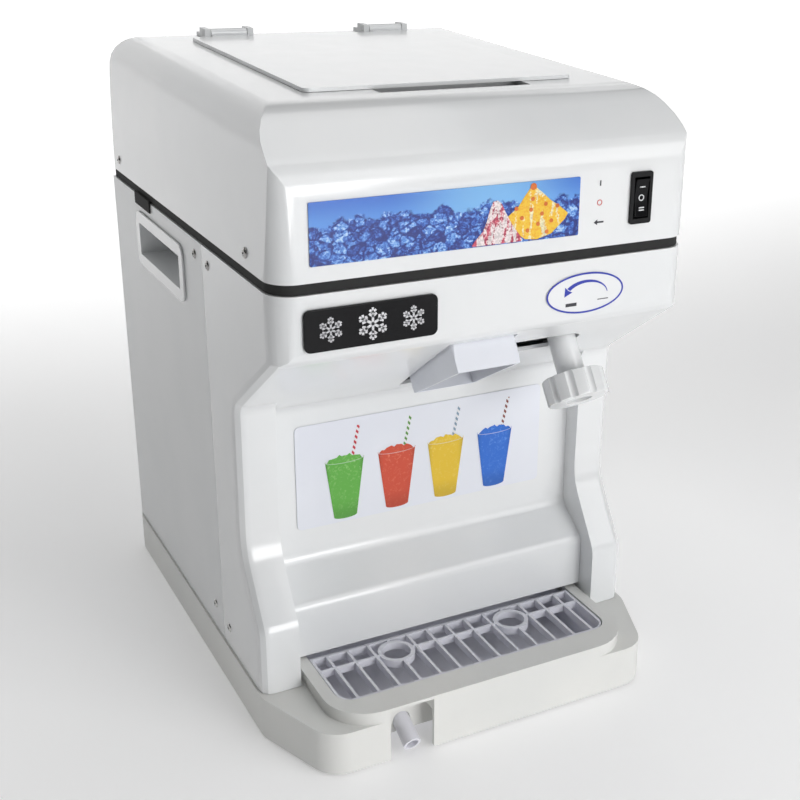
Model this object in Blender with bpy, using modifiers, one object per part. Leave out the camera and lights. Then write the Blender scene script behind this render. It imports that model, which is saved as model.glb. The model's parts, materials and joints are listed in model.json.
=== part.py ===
"""Shaved ice machine, counter-top size: housing, drive train, cutter and drip tray as separate pieces.

Metres, +Z up. The origin is the middle of the machine's footprint, on the surface that it stands on.
The front faces -Y and +X is to the right of someone who looks at the front.
"""

import math

import bmesh
import bpy
from mathutils import Matrix, Vector

# ---------------------------------------------------------------- driving dimensions
GAP = 0.0003                    # gap between neighbours that touch
FIT = 0.0010                    # clearance of a loose fit

BASE_WIDTH = 0.321
BASE_FRONT_OVERHANG = 0.0137    # base ahead of the head's front face
BASE_REAR_OVERHANG = 0.0070
FOOT_LIFT = 0.0020              # how far the feet hold the base off the table
FOOT_TOP_Z = 0.0080
FOOT_RADIUS = 0.0110
SHOULDER_Z = 0.0360             # top of the base beside the rim
RIM_Z = 0.0460                  # top of the rim round the grille
BASE_WALL = 0.0030
BASE_FRONT_HALF = 0.1346         # where the base's front meets its slanted corners
BASE_CORNER_DEPTH = 0.0550       # where the slanted corners meet the sides
BASE_CORNER_RADII = (0.024, 0.030)
BASE_REAR_RADIUS = 0.014

BODY_WIDTH = 0.318
BODY_DEPTH = 0.3936             # head's front face to the rear panel
BODY_TOP_Z = 0.3592             # joint between body and hood
GASKET_HEIGHT = 0.0070
SHELL_WALL = 0.0030
SHEET = 0.0015
CORNER_RADIUS = 0.018
EDGE_ROUNDING = 0.009           # outer edges of the columns and of the head's underside

HOOD_BAND_Z = 0.436             # top of the hood's upright front band
HOOD_SLOPE_TOP = (0.046, 0.4695)  # depth and height where the slanted front face ends
HOOD_REAR_Z = 0.4788
HOOD_DRAFT = 0.046              # sides and rear lean inwards by this share of the height
HOOD_EDGE_RISE = 0.0003         # crest of the hood's rounded side edges above its top face
HOOD_EDGE_RADIUS = 0.024

HEAD_BOTTOM_Z = 0.3096          # lower edge of the head's front face
CHIN_START = 0.0080             # depth where the slanted underside starts
UNDERSIDE_ANGLE = math.radians(35.2)
COLUMN_WIDTH = 0.0300
COLUMN_FACE = 0.0880            # depth of the columns' front faces
COLUMN_FOOT = 0.0560            # depth of the columns' feet
ALCOVE_BACK = 0.1060            # depth of the alcove's back wall
APRON_FACE = 0.0750             # depth of the apron above the grille
APRON_BOTTOM_Z = 0.0480
TUNNEL_BACK = 0.1140            # rear end of the room over the drip pan
RIDGE_LOW_Z = 0.0910
RIDGE_HIGH_Z = 0.1140
HOUSING_DEPTH = 0.1450          # depth where the moulded housing meets the side sheets

RIM_HALF_WIDTH = 0.1260
RIM_RADIUS = 0.034
PAN_HALF_WIDTH = 0.1165         # opening inside the rim
PAN_FRONT = 0.0090
PAN_BACK = 0.1080
PAN_RADIUS = 0.014
PAN_BOTTOM_Z = 0.0120
PAN_WALL = 0.0020
GRILLE_TOP_Z = 0.0450
GRILLE_HEIGHT = 0.0060
GRILLE_BACK = 0.0740
BAR_WIDTH = 0.0022
BAR_COUNT = 13
BAR_PITCH = 0.0170
CROSS_BAR_DEPTH = 0.0550
RING_BAR = 3                    # the rings sit on this bar, counted from the middle
RING_OUTER_RADIUS = 0.0145
RING_INNER_RADIUS = 0.0112

NOTCH_CENTRE_X = -0.0700
NOTCH_WIDTH = 0.0350
NOTCH_TOP_Z = 0.0435
SPOUT_RADIUS = 0.0068
SPOUT_BORE_RADIUS = 0.0048
SPOUT_ROOT_Z = 0.0195           # height of the spout where it leaves the pan
SPOUT_TIP_Z = 0.0092
SPOUT_TIP = -0.0130             # depth of the spout's open end

CHUTE_CENTRE_X = -0.0030
CHUTE_START = 0.0120            # depth where the chute leaves the underside
CHUTE_LENGTH = 0.0830           # along the slanted underside
CHUTE_HALF_WIDTH = 0.0260
CHUTE_RISE = 0.0055             # inside the head
CHUTE_DROPS = (0.0197, 0.0124)  # below the underside, at the front and at the rear
CHUTE_TAPERS = (0.0028, 0.0035, 0.0015)  # how far front, rear and sides lean inwards on the way down
CHUTE_RADIUS = 0.0050
CHUTE_WALL = 0.0022
CHUTE_HOLE_BACK = 0.0160        # gap behind the chute in the underside

KNOB_X = 0.0800
KNOB_DEPTH = 0.0420             # depth where the stem crosses the underside
STEM_RADIUS = 0.0105
STEM_LENGTH = 0.0280
KNOB_RADIUS = 0.0235
KNOB_HEIGHT = 0.0200
KNOB_LOBES = 10
SLOT_HALF_WIDTH = 0.0145        # slot in the underside that the stem comes through
SLOT_SHIFT = 0.0020             # its middle line behind the stem's axis
KNOB_ROUNDING = 0.0015
SCREW_RADIUS = 0.0040

LID_HALF_WIDTH = 0.1035
LID_FRONT = 0.0805
LID_BACK = 0.3260
LID_THICKNESS = 0.0026
LID_SKIRT = 0.0080
MOUTH_INSET = 0.0100            # mouth edge inside the lid's edge
MOUTH_RADIUS = 0.0080
FINGER_NOTCH = (-0.055, 0.061)  # across the front of the mouth
FINGER_NOTCH_DEPTH = 0.0130
HINGE_RADIUS = 0.0034
HINGE_PIN_RADIUS = 0.0016
HINGE_X = 0.0700
HINGE_LENGTH = 0.0300

DRUM_RADIUS = 0.0700            # inside
DRUM_WALL = 0.0030
DRUM_Z = 0.3620
DRUM_FRONT = 0.0520
DRUM_BACK = 0.1320
FRAME_PLATE = 0.0050
SHAFT_RADIUS = 0.0075
BEARING_RADIUS = 0.0160
BEARING_LENGTH = 0.0120
PADDLE_RADIUS = 0.0675
PADDLE_COUNT = 3
DRIVEN_PULLEY_RADIUS = 0.0550
MOTOR_PULLEY_RADIUS = 0.0160
PULLEY_WIDTH = 0.0140
BELT_HEIGHT = 0.0060
BELT_WIDTH = 0.0090
PULLEY_DEPTH = 0.1880           # depth of the belt's middle
BELT_CENTRES = 0.1900
MOTOR_RADIUS = 0.0520
MOTOR_LENGTH = 0.1150

HANDLE_DEPTHS = (0.190, 0.319)
HANDLE_HEIGHTS = (0.3015, 0.3465)
HANDLE_RECESS = 0.0240
HANDLE_FLANGE = 0.0070
HANDLE_RADIUS = 0.0100

SWITCH_CENTRE = (0.1128, 0.3992)
SWITCH_SIZE = (0.0180, 0.0370)
ROCKER_SIZE = (0.0110, 0.0270)
BANNER = (-0.134, 0.062, 0.3775, 0.4180)
BADGE = (-0.1398, -0.046, 0.3215, 0.3500)
STICKER = (-0.1096, 0.1020, 0.1392, 0.2243)
DIAL_CENTRE = (0.0705, 0.3350)
DIAL_SIZE = (0.0640, 0.0295)

# ---------------------------------------------------------------- places worked out from them
KNOB_REACH = ((STEM_LENGTH + KNOB_HEIGHT) * math.sin(UNDERSIDE_ANGLE) - KNOB_DEPTH
              + (KNOB_RADIUS - KNOB_ROUNDING / 2) * math.cos(UNDERSIDE_ANGLE))
SPOUT_FALL = math.atan((SPOUT_ROOT_Z - SPOUT_TIP_Z) / (PAN_FRONT - SPOUT_TIP))
SPOUT_REACH = SPOUT_RADIUS * math.sin(SPOUT_FALL) - SPOUT_TIP
FRONT_REACH = max(BASE_FRONT_OVERHANG, KNOB_REACH, SPOUT_REACH)
TOTAL_DEPTH = FRONT_REACH + BODY_DEPTH + BASE_REAR_OVERHANG
HEAD_Y = FRONT_REACH - TOTAL_DEPTH / 2          # depths are measured from the head's front face
BASE_FRONT_Y = HEAD_Y - BASE_FRONT_OVERHANG
BODY_REAR_Y = HEAD_Y + BODY_DEPTH
BASE_REAR_Y = TOTAL_DEPTH / 2
HALF_BODY = BODY_WIDTH / 2
HALF_BASE = BASE_WIDTH / 2
BODY_BOTTOM_Z = SHOULDER_Z + GAP
GASKET_Z = BODY_TOP_Z + GAP
HOOD_Z = GASKET_Z + GASKET_HEIGHT + GAP
DECK_Z = SHOULDER_Z
COLUMN_INNER_X = HALF_BODY - COLUMN_WIDTH
SLOPE = math.tan(UNDERSIDE_ANGLE)
DOWN_SLOPE = Vector((0.0, math.cos(UNDERSIDE_ANGLE), -math.sin(UNDERSIDE_ANGLE)))
UP_NORMAL = Vector((0.0, math.sin(UNDERSIDE_ANGLE), math.cos(UNDERSIDE_ANGLE)))


def depth(value):
    """World y of a depth behind the head's front face."""
    return HEAD_Y + value


def underside_z(value):
    """Height of the head's slanted underside at a depth."""
    return HEAD_BOTTOM_Z - (value - CHIN_START) * SLOPE


def hood_top_z(value):
    """Height of the hood's top face at a depth."""
    start_depth, start_z = HOOD_SLOPE_TOP
    return start_z + (value - start_depth) * (HOOD_REAR_Z - start_z) / (BODY_DEPTH - start_depth)


HOOD_TILT = math.atan((HOOD_REAR_Z - HOOD_SLOPE_TOP[1]) / (BODY_DEPTH - HOOD_SLOPE_TOP[0]))


# ---------------------------------------------------------------- modelling helpers
def start_scene():
    """Empty the scene and make the two collections."""
    for item in list(bpy.data.objects):
        bpy.data.objects.remove(item, do_unlink=True)
    made = []
    for name in ("shaved_ice_machine", "cutters"):
        group = bpy.data.collections.new(name)
        bpy.context.scene.collection.children.link(group)
        made.append(group)
    return made


PARTS, CUTTERS = start_scene()
FINISHES = {
    "white_gloss": ((0.86, 0.87, 0.87), 0.22, 0.0),
    "white_paint": ((0.84, 0.85, 0.85), 0.35, 0.0),
    "white_matte": ((0.82, 0.82, 0.80), 0.55, 0.0),
    "grille_white": ((0.83, 0.83, 0.88), 0.40, 0.0),
    "black_rubber": ((0.02, 0.02, 0.02), 0.80, 0.0),
    "black_gloss": ((0.015, 0.015, 0.015), 0.18, 0.0),
    "black_matte": ((0.03, 0.03, 0.03), 0.50, 0.0),
    "blue_print": ((0.10, 0.30, 0.75), 0.25, 0.0),
    "white_print": ((0.85, 0.86, 0.90), 0.30, 0.0),
    "steel": ((0.62, 0.62, 0.63), 0.30, 1.0),
    "aluminium": ((0.75, 0.75, 0.76), 0.40, 1.0),
    "motor_grey": ((0.32, 0.34, 0.36), 0.45, 0.4),
}


def finish(name):
    """The named material, made once."""
    found = bpy.data.materials.get(name)
    if found:
        return found
    colour, roughness, metallic = FINISHES[name]
    made = bpy.data.materials.new(name)
    made.use_nodes = True
    shader = made.node_tree.nodes["Principled BSDF"]
    shader.inputs["Base Color"].default_value = (*colour, 1.0)
    shader.inputs["Roughness"].default_value = roughness
    shader.inputs["Metallic"].default_value = metallic
    return made


def add(name, mesh, material=None, place=None, turn=None):
    """Put a mesh in the scene as a part, or as a cutter when it has no material."""
    item = bpy.data.objects.new(name, mesh)
    if turn is not None:
        item.matrix_world = turn
    if place is not None:
        item.location = place
    if material is None:
        CUTTERS.objects.link(item)
        item.hide_render = True
        item.display_type = "WIRE"
    else:
        PARTS.objects.link(item)
        mesh.materials.append(finish(material))
    return item


def shade(item, angle=30.0):
    """Smooth shading with sharp edges past an angle."""
    item.data.shade_smooth()
    item.data.set_sharp_from_angle(angle=math.radians(angle))
    return item


def block(name, low, high, material=None):
    """A box between two corners."""
    low, high = Vector(low), Vector(high)
    shape = bmesh.new()
    bmesh.ops.create_cube(shape, size=1.0)
    bmesh.ops.scale(shape, vec=high - low, verts=shape.verts)
    mesh = bpy.data.meshes.new(name)
    shape.to_mesh(mesh)
    shape.free()
    return add(name, mesh, material, place=(low + high) / 2)


def rod(name, start, end, radius, material=None, sides=32, end_radius=None):
    """A cylinder or a cone between two points."""
    start, end = Vector(start), Vector(end)
    line = end - start
    shape = bmesh.new()
    bmesh.ops.create_cone(shape, cap_ends=True, segments=sides, radius1=radius,
                          radius2=radius if end_radius is None else end_radius, depth=line.length)
    mesh = bpy.data.meshes.new(name)
    shape.to_mesh(mesh)
    shape.free()
    turn = Matrix.Translation((start + end) / 2) @ line.to_track_quat("Z", "Y").to_matrix().to_4x4()
    return shade(add(name, mesh, material, turn=turn))


def bevel(item, width, segments=2, angle=30.0):
    """Rounded edges."""
    made = item.modifiers.new("round", "BEVEL")
    made.width = width
    made.segments = segments
    made.limit_method = "ANGLE"
    made.angle_limit = math.radians(angle)
    return item


def combine(item, tool, operation):
    """An exact Boolean of an item and a tool."""
    made = item.modifiers.new(operation.lower(), "BOOLEAN")
    made.operation = operation
    made.solver = "EXACT"
    made.object = tool
    return item


def cut(item, *tools):
    """Take every tool away from an item."""
    for tool in tools:
        combine(item, tool, "DIFFERENCE")
    return item


def join(item, *tools):
    """Add every tool to an item."""
    for tool in tools:
        combine(item, tool, "UNION")
    return item


def outline(corners, step=math.radians(15.0)):
    """Points of a closed outline; each corner is (a, b) or (a, b, radius) and gets an arc."""
    points = []
    count = len(corners)
    for index, corner in enumerate(corners):
        here = Vector(corner[:2])
        radius = corner[2] if len(corner) > 2 else 0.0
        if radius <= 0.0:
            points.append(here)
            continue
        before = (Vector(corners[index - 1][:2]) - here).normalized()
        after = (Vector(corners[(index + 1) % count][:2]) - here).normalized()
        half = before.angle(after) / 2
        centre = here + (before + after).normalized() * radius / math.sin(half)
        first = here + before * radius / math.tan(half) - centre
        last = here + after * radius / math.tan(half) - centre
        swing = first.angle_signed(last)
        pieces = max(2, math.ceil(abs(swing) / step))
        for piece in range(pieces + 1):
            spoke = first.copy()
            spoke.rotate(Matrix.Rotation(-swing * piece / pieces, 2))
            points.append(centre + spoke)
    return points


def rectangle(a0, a1, b0, b1, radii=0.0):
    """Corners of a rectangle; radii is one value or four, from (a0, b0) round."""
    if isinstance(radii, (int, float)):
        radii = (radii,) * 4
    return [(a0, b0, radii[0]), (a1, b0, radii[1]), (a1, b1, radii[2]), (a0, b1, radii[3])]


AXES = {
    "x": Matrix(((0, 0, 1, 0), (1, 0, 0, 0), (0, 1, 0, 0), (0, 0, 0, 1))),
    "y": Matrix(((1, 0, 0, 0), (0, 0, -1, 0), (0, 1, 0, 0), (0, 0, 0, 1))),
    "z": Matrix.Identity(4),
}


def prism(name, corners, start, end, axis, material=None, turn=None, flat_caps=False):
    """A flat outline made thick along an axis. Outlines are (y, z), (x, z) or (x, y). Flat caps take a bevel."""
    curve = bpy.data.curves.new(name + "_outline", "CURVE")
    curve.dimensions = "2D"
    curve.fill_mode = "BOTH"
    curve.extrude = abs(end - start) / 2
    spline = curve.splines.new("POLY")
    points = outline(corners)
    spline.points.add(len(points) - 1)
    for point, place in zip(spline.points, points):
        point.co = (place.x, place.y, 0.0, 1.0)
    spline.use_cyclic_u = True
    guide = bpy.data.objects.new(name + "_guide", curve)
    CUTTERS.objects.link(guide)
    bpy.context.view_layer.update()
    mesh = bpy.data.meshes.new_from_object(guide.evaluated_get(bpy.context.evaluated_depsgraph_get()))
    bpy.data.objects.remove(guide)
    bpy.data.curves.remove(curve)
    mesh.name = name
    middle = (start + end) / 2
    shift = {"x": (middle, 0, 0), "y": (0, middle, 0), "z": (0, 0, middle)}[axis]
    mesh.transform(Matrix.Translation(shift) @ AXES[axis])
    shape = bmesh.new()
    shape.from_mesh(mesh)
    bmesh.ops.remove_doubles(shape, verts=shape.verts, dist=1e-6)
    if flat_caps:
        bmesh.ops.dissolve_limit(shape, angle_limit=0.001, verts=shape.verts, edges=shape.edges)
    bmesh.ops.recalc_face_normals(shape, faces=shape.faces)
    shape.to_mesh(mesh)
    shape.free()
    return add(name, mesh, material, turn=turn)


def turned(name, profile, steps, place, axis, material=None):
    """A round piece from (radius, height) points, top to bottom, about an axis through a place."""
    shape = bmesh.new()
    points = [shape.verts.new((radius, 0.0, height)) for radius, height in profile]
    hollow = profile[0][0] > 0.0 and profile[-1][0] > 0.0
    for index in range(len(points) if hollow else len(points) - 1):
        shape.edges.new((points[index], points[(index + 1) % len(points)]))
    mesh = bpy.data.meshes.new(name)
    shape.to_mesh(mesh)
    shape.free()
    turn = Matrix.Translation(place) @ Vector(axis).to_track_quat("Z", "Y").to_matrix().to_4x4()
    item = add(name, mesh, material, turn=turn)
    made = item.modifiers.new("turn", "SCREW")
    made.steps = steps
    made.render_steps = steps
    made.use_merge_vertices = True
    made.merge_threshold = 1e-6
    made.use_smooth_shade = False
    return item


def inset(corners, distance):
    """The same outline with every side moved inwards; its corners' radii follow."""
    count = len(corners)
    area = sum(corners[i - 1][0] * corners[i][1] - corners[i][0] * corners[i - 1][1] for i in range(count))
    hand = 1.0 if area > 0.0 else -1.0
    moved = []
    for index in range(count):
        here = Vector(corners[index][:2])
        before = (here - Vector(corners[index - 1][:2])).normalized()
        after = (Vector(corners[(index + 1) % count][:2]) - here).normalized()
        inward_a = Vector((-before.y, before.x)) * hand
        inward_b = Vector((-after.y, after.x)) * hand
        place = here + (inward_a + inward_b) * distance / (1.0 + inward_a.dot(inward_b))
        radius = corners[index][2] if len(corners[index]) > 2 else 0.0
        bend = before.cross(after) * hand
        if radius > 0.0:
            radius = max(radius - distance if bend > 0.0 else radius + distance, 0.001)
        moved.append((place.x, place.y, radius))
    return moved


def slope_frame(x, start_depth):
    """Axes on the slanted underside: X across, Y down the slope to the rear, Z up into the head."""
    frame = Matrix((Vector((1.0, 0.0, 0.0)), DOWN_SLOPE, UP_NORMAL)).transposed().to_4x4()
    frame.translation = Vector((x, depth(start_depth), underside_z(start_depth)))
    return frame


def slope_block(name, frame, low, high, material=None):
    """A box between two corners in a frame."""
    item = block(name, low, high, material)
    item.matrix_basis = frame @ item.matrix_basis
    return item


def slope_rod(name, frame, low, high, radius, material=None, sides=32):
    """A cylinder along a frame's Z, between two heights."""
    return rod(name, frame @ Vector((0, 0, low)), frame @ Vector((0, 0, high)), radius, material, sides)


# ---------------------------------------------------------------- base and drip tray
def base_plan(low_inset=0.0):
    """Outline of the base seen from above."""
    front_radius, side_radius = BASE_CORNER_RADII
    right = [(BASE_FRONT_HALF, BASE_FRONT_Y, front_radius), (HALF_BASE, depth(BASE_CORNER_DEPTH), side_radius),
             (HALF_BASE, BASE_REAR_Y, BASE_REAR_RADIUS)]
    return inset(right + [(-x, y, radius) for x, y, radius in reversed(right)], low_inset)


def pan_plan(clearance=0.0):
    """Outline of the opening that holds the drip pan."""
    corners = rectangle(-PAN_HALF_WIDTH, PAN_HALF_WIDTH, depth(PAN_FRONT), depth(PAN_BACK), PAN_RADIUS)
    return inset(corners, clearance)


def spout_line(low, high):
    """Two points on the drain spout's axis, at two depths."""
    fall = (SPOUT_ROOT_Z - SPOUT_TIP_Z) / (PAN_FRONT - SPOUT_TIP)
    return [(NOTCH_CENTRE_X, depth(d), SPOUT_TIP_Z + (d - SPOUT_TIP) * fall) for d in (low, high)]


def build_base():
    """Moulded base: shoulder, raised rim, pan opening with a ledge, drain notch, deck for the works."""
    ledge = 0.0040
    ledge_thickness = 0.0020
    rim_back = APRON_FACE + 0.006
    base = prism("base", base_plan(), FOOT_LIFT, SHOULDER_Z, "z", "white_matte")
    rim = prism("base_rim", rectangle(-RIM_HALF_WIDTH, RIM_HALF_WIDTH, BASE_FRONT_Y, depth(rim_back),
                                      (RIM_RADIUS, RIM_RADIUS, 0.0, 0.0)), 0.020, RIM_Z, "z")
    opening = prism("base_opening", pan_plan(), PAN_BOTTOM_Z - GAP, 0.060, "z")
    hollow = prism("base_hollow", base_plan(BASE_WALL), -0.010, SHOULDER_Z - BASE_WALL, "z")
    collar = prism("base_collar", pan_plan(-BASE_WALL), PAN_BOTTOM_Z - GAP - ledge_thickness, 0.060, "z")
    cut(hollow, collar)
    below = prism("base_below", pan_plan(ledge), -0.010, 0.060, "z")
    notch = block("base_notch", (NOTCH_CENTRE_X - NOTCH_WIDTH / 2, BASE_FRONT_Y - 0.010, -0.010),
                  (NOTCH_CENTRE_X + NOTCH_WIDTH / 2, depth(PAN_FRONT) - BASE_WALL, NOTCH_TOP_Z))
    start, end = spout_line(SPOUT_TIP, PAN_FRONT + 0.004)
    hole = rod("base_spout_hole", start, end, SPOUT_RADIUS + GAP, sides=24)
    cut(join(base, rim), opening, hollow, below, notch, hole)
    for name, x, y in foot_places():
        join(base, rod(f"boss_{name}", (x, y, FOOT_TOP_Z), (x, y, SHOULDER_Z - BASE_WALL / 2), FOOT_RADIUS + 0.002,
                       sides=24))


def foot_places():
    """Name and place of every foot."""
    x = HALF_BASE - FOOT_RADIUS - 0.012
    return [(f"{end}_{side}", sign * x, y)
            for side, sign in (("left", -1), ("right", 1))
            for end, y in (("front", BASE_FRONT_Y + 0.062), ("rear", BASE_REAR_Y - 0.030))]


def build_feet():
    """Four rubber feet under the base's bosses."""
    for name, x, y in foot_places():
        rod(f"foot_{name}", (x, y, 0.0), (x, y, FOOT_TOP_Z - GAP), FOOT_RADIUS, "black_rubber", sides=24)


def build_drip_pan():
    """Moulded pan on the base's ledge, and its drain spout."""
    top = GRILLE_TOP_Z - GRILLE_HEIGHT - GAP
    pan = prism("drip_pan", pan_plan(GAP), PAN_BOTTOM_Z, top, "z", "grille_white")
    inside = prism("drip_pan_inside", pan_plan(GAP + PAN_WALL), PAN_BOTTOM_Z + PAN_WALL, top + 0.01, "z")
    start, end = spout_line(SPOUT_TIP, PAN_FRONT + 0.004)
    hole = rod("drip_pan_hole", start, end, SPOUT_RADIUS + GAP, sides=24)
    cut(pan, inside, hole)
    start, end = spout_line(SPOUT_TIP, PAN_FRONT + GAP + PAN_WALL - 0.0004)
    spout = rod("drain_spout", start, end, SPOUT_RADIUS, "grille_white", sides=24)
    start, end = spout_line(SPOUT_TIP - 0.01, PAN_FRONT + 0.010)
    cut(spout, rod("drain_spout_bore", start, end, SPOUT_BORE_RADIUS, sides=24))


def build_grille():
    """Drip grille: a plate with a cell between every two bars, and two cup rings."""
    low, high = GRILLE_TOP_Z - GRILLE_HEIGHT, GRILLE_TOP_Z
    half = PAN_HALF_WIDTH - FIT
    front, back = depth(PAN_FRONT) + FIT, depth(GRILLE_BACK)
    plan = rectangle(-half, half, front, back, (PAN_RADIUS - FIT, PAN_RADIUS - FIT, 0.001, 0.001))
    grille = prism("drip_grille", plan, low, high, "z", "grille_white")
    middle = (BAR_COUNT - 1) / 2
    bars = [(index - middle) * BAR_PITCH for index in range(BAR_COUNT)]
    walls = [-half] + bars + [half]
    edge = BAR_WIDTH / 2
    rows = ((front + BAR_WIDTH, depth(CROSS_BAR_DEPTH) - edge), (depth(CROSS_BAR_DEPTH) + edge, back - BAR_WIDTH))
    for index in range(len(walls) - 1):
        start = walls[index] + (BAR_WIDTH if index == 0 else edge)
        end = walls[index + 1] - (BAR_WIDTH if index == len(walls) - 2 else edge)
        for row, (y0, y1) in enumerate(rows):
            corner = PAN_RADIUS - FIT - BAR_WIDTH if row == 0 else 0.0
            radii = (corner if index == 0 else 0.0, corner if index == len(walls) - 2 else 0.0, 0.0, 0.0)
            radii = tuple(min(r, end - start - 0.001) for r in radii)
            cut(grille, prism(f"grille_cell_{index}_{row}", rectangle(start, end, y0, y1, radii), low - 0.01,
                              high + 0.01, "z"))
    for side in (-1, 1):
        place = (side * RING_BAR * BAR_PITCH, depth(CROSS_BAR_DEPTH))
        join(grille, rod(f"grille_ring_{side}", (*place, low), (*place, high), RING_OUTER_RADIUS))
        cut(grille, rod(f"grille_hole_{side}", (*place, low - 0.01), (*place, high + 0.01), RING_INNER_RADIUS))


# ---------------------------------------------------------------- body shells
def housing_profile():
    """Side outline of the moulded housing, run past its top, rear and bottom edges."""
    over = 0.030
    knee_depth, knee_z, ankle_z = COLUMN_FACE + 0.0025, 0.140, 0.088
    return [
        (0.0, BODY_TOP_Z + over),
        (0.0, underside_z(0.0), 0.017),
        (COLUMN_FACE, underside_z(COLUMN_FACE), 0.012),
        (knee_depth, knee_z, 0.045),
        (COLUMN_FOOT, ankle_z, 0.022),
        (COLUMN_FOOT, BODY_BOTTOM_Z - over),
        (HOUSING_DEPTH + over, BODY_BOTTOM_Z - over),
        (HOUSING_DEPTH + over, BODY_TOP_Z + over),
    ]


def body_plan(back, back_radius=0.0):
    """Outline of the body seen from above, from its front face to a depth."""
    radii = (CORNER_RADIUS, CORNER_RADIUS, back_radius, back_radius)
    return rectangle(-HALF_BODY, HALF_BODY, HEAD_Y, depth(back), radii)


def alcove_profile():
    """Side outline of the space between the columns and over the pan, run past the front and the bottom."""
    over, step = 0.030, 0.0002
    start = COLUMN_FOOT - 0.010
    return [
        (start, underside_z(start) - step),
        (start, BODY_BOTTOM_Z - over),
        (TUNNEL_BACK, BODY_BOTTOM_Z - over),
        (TUNNEL_BACK, APRON_BOTTOM_Z),
        (APRON_FACE, APRON_BOTTOM_Z, 0.001),
        (APRON_FACE, RIDGE_LOW_Z, 0.010),
        (ALCOVE_BACK, RIDGE_HIGH_Z, 0.012),
        (ALCOVE_BACK, underside_z(ALCOVE_BACK) - step, 0.010),
    ]


def at_depth(corners):
    """Outline points given as depth and height, turned into world y and z."""
    return [(depth(c[0]), *c[1:]) for c in corners]


def build_front_housing():
    """Moulded front: head, two columns, alcove and apron, open at the top, rear and bottom."""
    over = 0.040
    profile = at_depth(housing_profile())
    plan = body_plan(HOUSING_DEPTH)
    housing = prism("front_housing", profile, -HALF_BODY, HALF_BODY, "x", "white_gloss", flat_caps=True)
    combine(bevel(housing, EDGE_ROUNDING, 3, 60.0), prism("housing_plan", plan, BODY_BOTTOM_Z, BODY_TOP_Z, "z"), "INTERSECT")
    inner = inset(body_plan(HOUSING_DEPTH + over), SHELL_WALL)
    inner_half = HALF_BODY - SHELL_WALL
    cavity = prism("housing_cavity", inset(profile, SHELL_WALL), -inner_half, inner_half, "x", flat_caps=True)
    combine(bevel(cavity, EDGE_ROUNDING - SHELL_WALL, 3, 60.0), prism("cavity_plan", inner, 0.0, 0.5, "z"), "INTERSECT")
    wall = inset(at_depth(alcove_profile()), -SHELL_WALL)
    guard_x = COLUMN_INNER_X + SHELL_WALL
    guard = prism("alcove_guard", wall, -guard_x, guard_x, "x")
    cut(cavity, guard)
    alcove = prism("alcove", at_depth(alcove_profile()), -COLUMN_INNER_X, COLUMN_INNER_X, "x")
    frame = slope_frame(CHUTE_CENTRE_X, CHUTE_START)
    half = CHUTE_HALF_WIDTH + FIT
    chute_hole = slope_block("chute_hole", frame, (-half, -FIT, -over), (half, CHUTE_LENGTH + CHUTE_HOLE_BACK, 0.010))
    knob_frame = slope_frame(KNOB_X, KNOB_DEPTH) @ Matrix.Translation((0.0, SLOT_SHIFT, 0.0))
    stem_hole = slope_rod("stem_hole", knob_frame, -over, 0.012, SLOT_HALF_WIDTH)
    link_slot = slope_block("link_slot", knob_frame, (CHUTE_CENTRE_X - KNOB_X, -SLOT_HALF_WIDTH, -over),
                            (0.0, SLOT_HALF_WIDTH, 0.010))
    cut(housing, cavity, alcove, chute_hole, stem_hole, link_slot)


def build_side_panel(side):
    """Side sheet with the cut-out for the flush handle."""
    name = "left" if side < 0 else "right"
    outer, inner = side * HALF_BODY, side * (HALF_BODY - SHEET)
    corners = rectangle(depth(HOUSING_DEPTH) + GAP, BODY_REAR_Y, BODY_BOTTOM_Z, BODY_TOP_Z)
    panel = prism(f"side_panel_{name}", corners, min(outer, inner), max(outer, inner), "x", "white_paint")
    opening = inset(handle_plan(), HANDLE_FLANGE)
    cut(panel, prism(f"handle_hole_{name}", opening, side * 0.1, side * 0.2, "x"))


def handle_plan():
    """Outline of the handle's flange seen from the side."""
    return at_depth(rectangle(*HANDLE_DEPTHS, *HANDLE_HEIGHTS, HANDLE_RADIUS))


def build_handle(side):
    """Flush pull handle: a flanged tub whose open mouth takes the fingers."""
    name = "left" if side < 0 else "right"
    flange = handle_plan()
    face = side * (HALF_BODY + 0.0018)
    seat = side * (HALF_BODY + GAP)
    handle = prism(f"handle_{name}", flange, min(face, seat), max(face, seat), "x", "white_gloss")
    bottom = side * (HALF_BODY - HANDLE_RECESS)
    tub = prism(f"handle_tub_{name}", inset(flange, HANDLE_FLANGE + GAP), min(bottom, seat), max(bottom, seat), "x")
    wall = 0.0022
    pocket = inset(flange, HANDLE_FLANGE + GAP + wall)
    deep = side * (HALF_BODY - HANDLE_RECESS + wall)
    mouth = prism(f"handle_pocket_{name}", pocket, min(deep, side * 0.2), max(deep, side * 0.2), "x")
    join(handle, tub)
    cut(handle, mouth)


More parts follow.
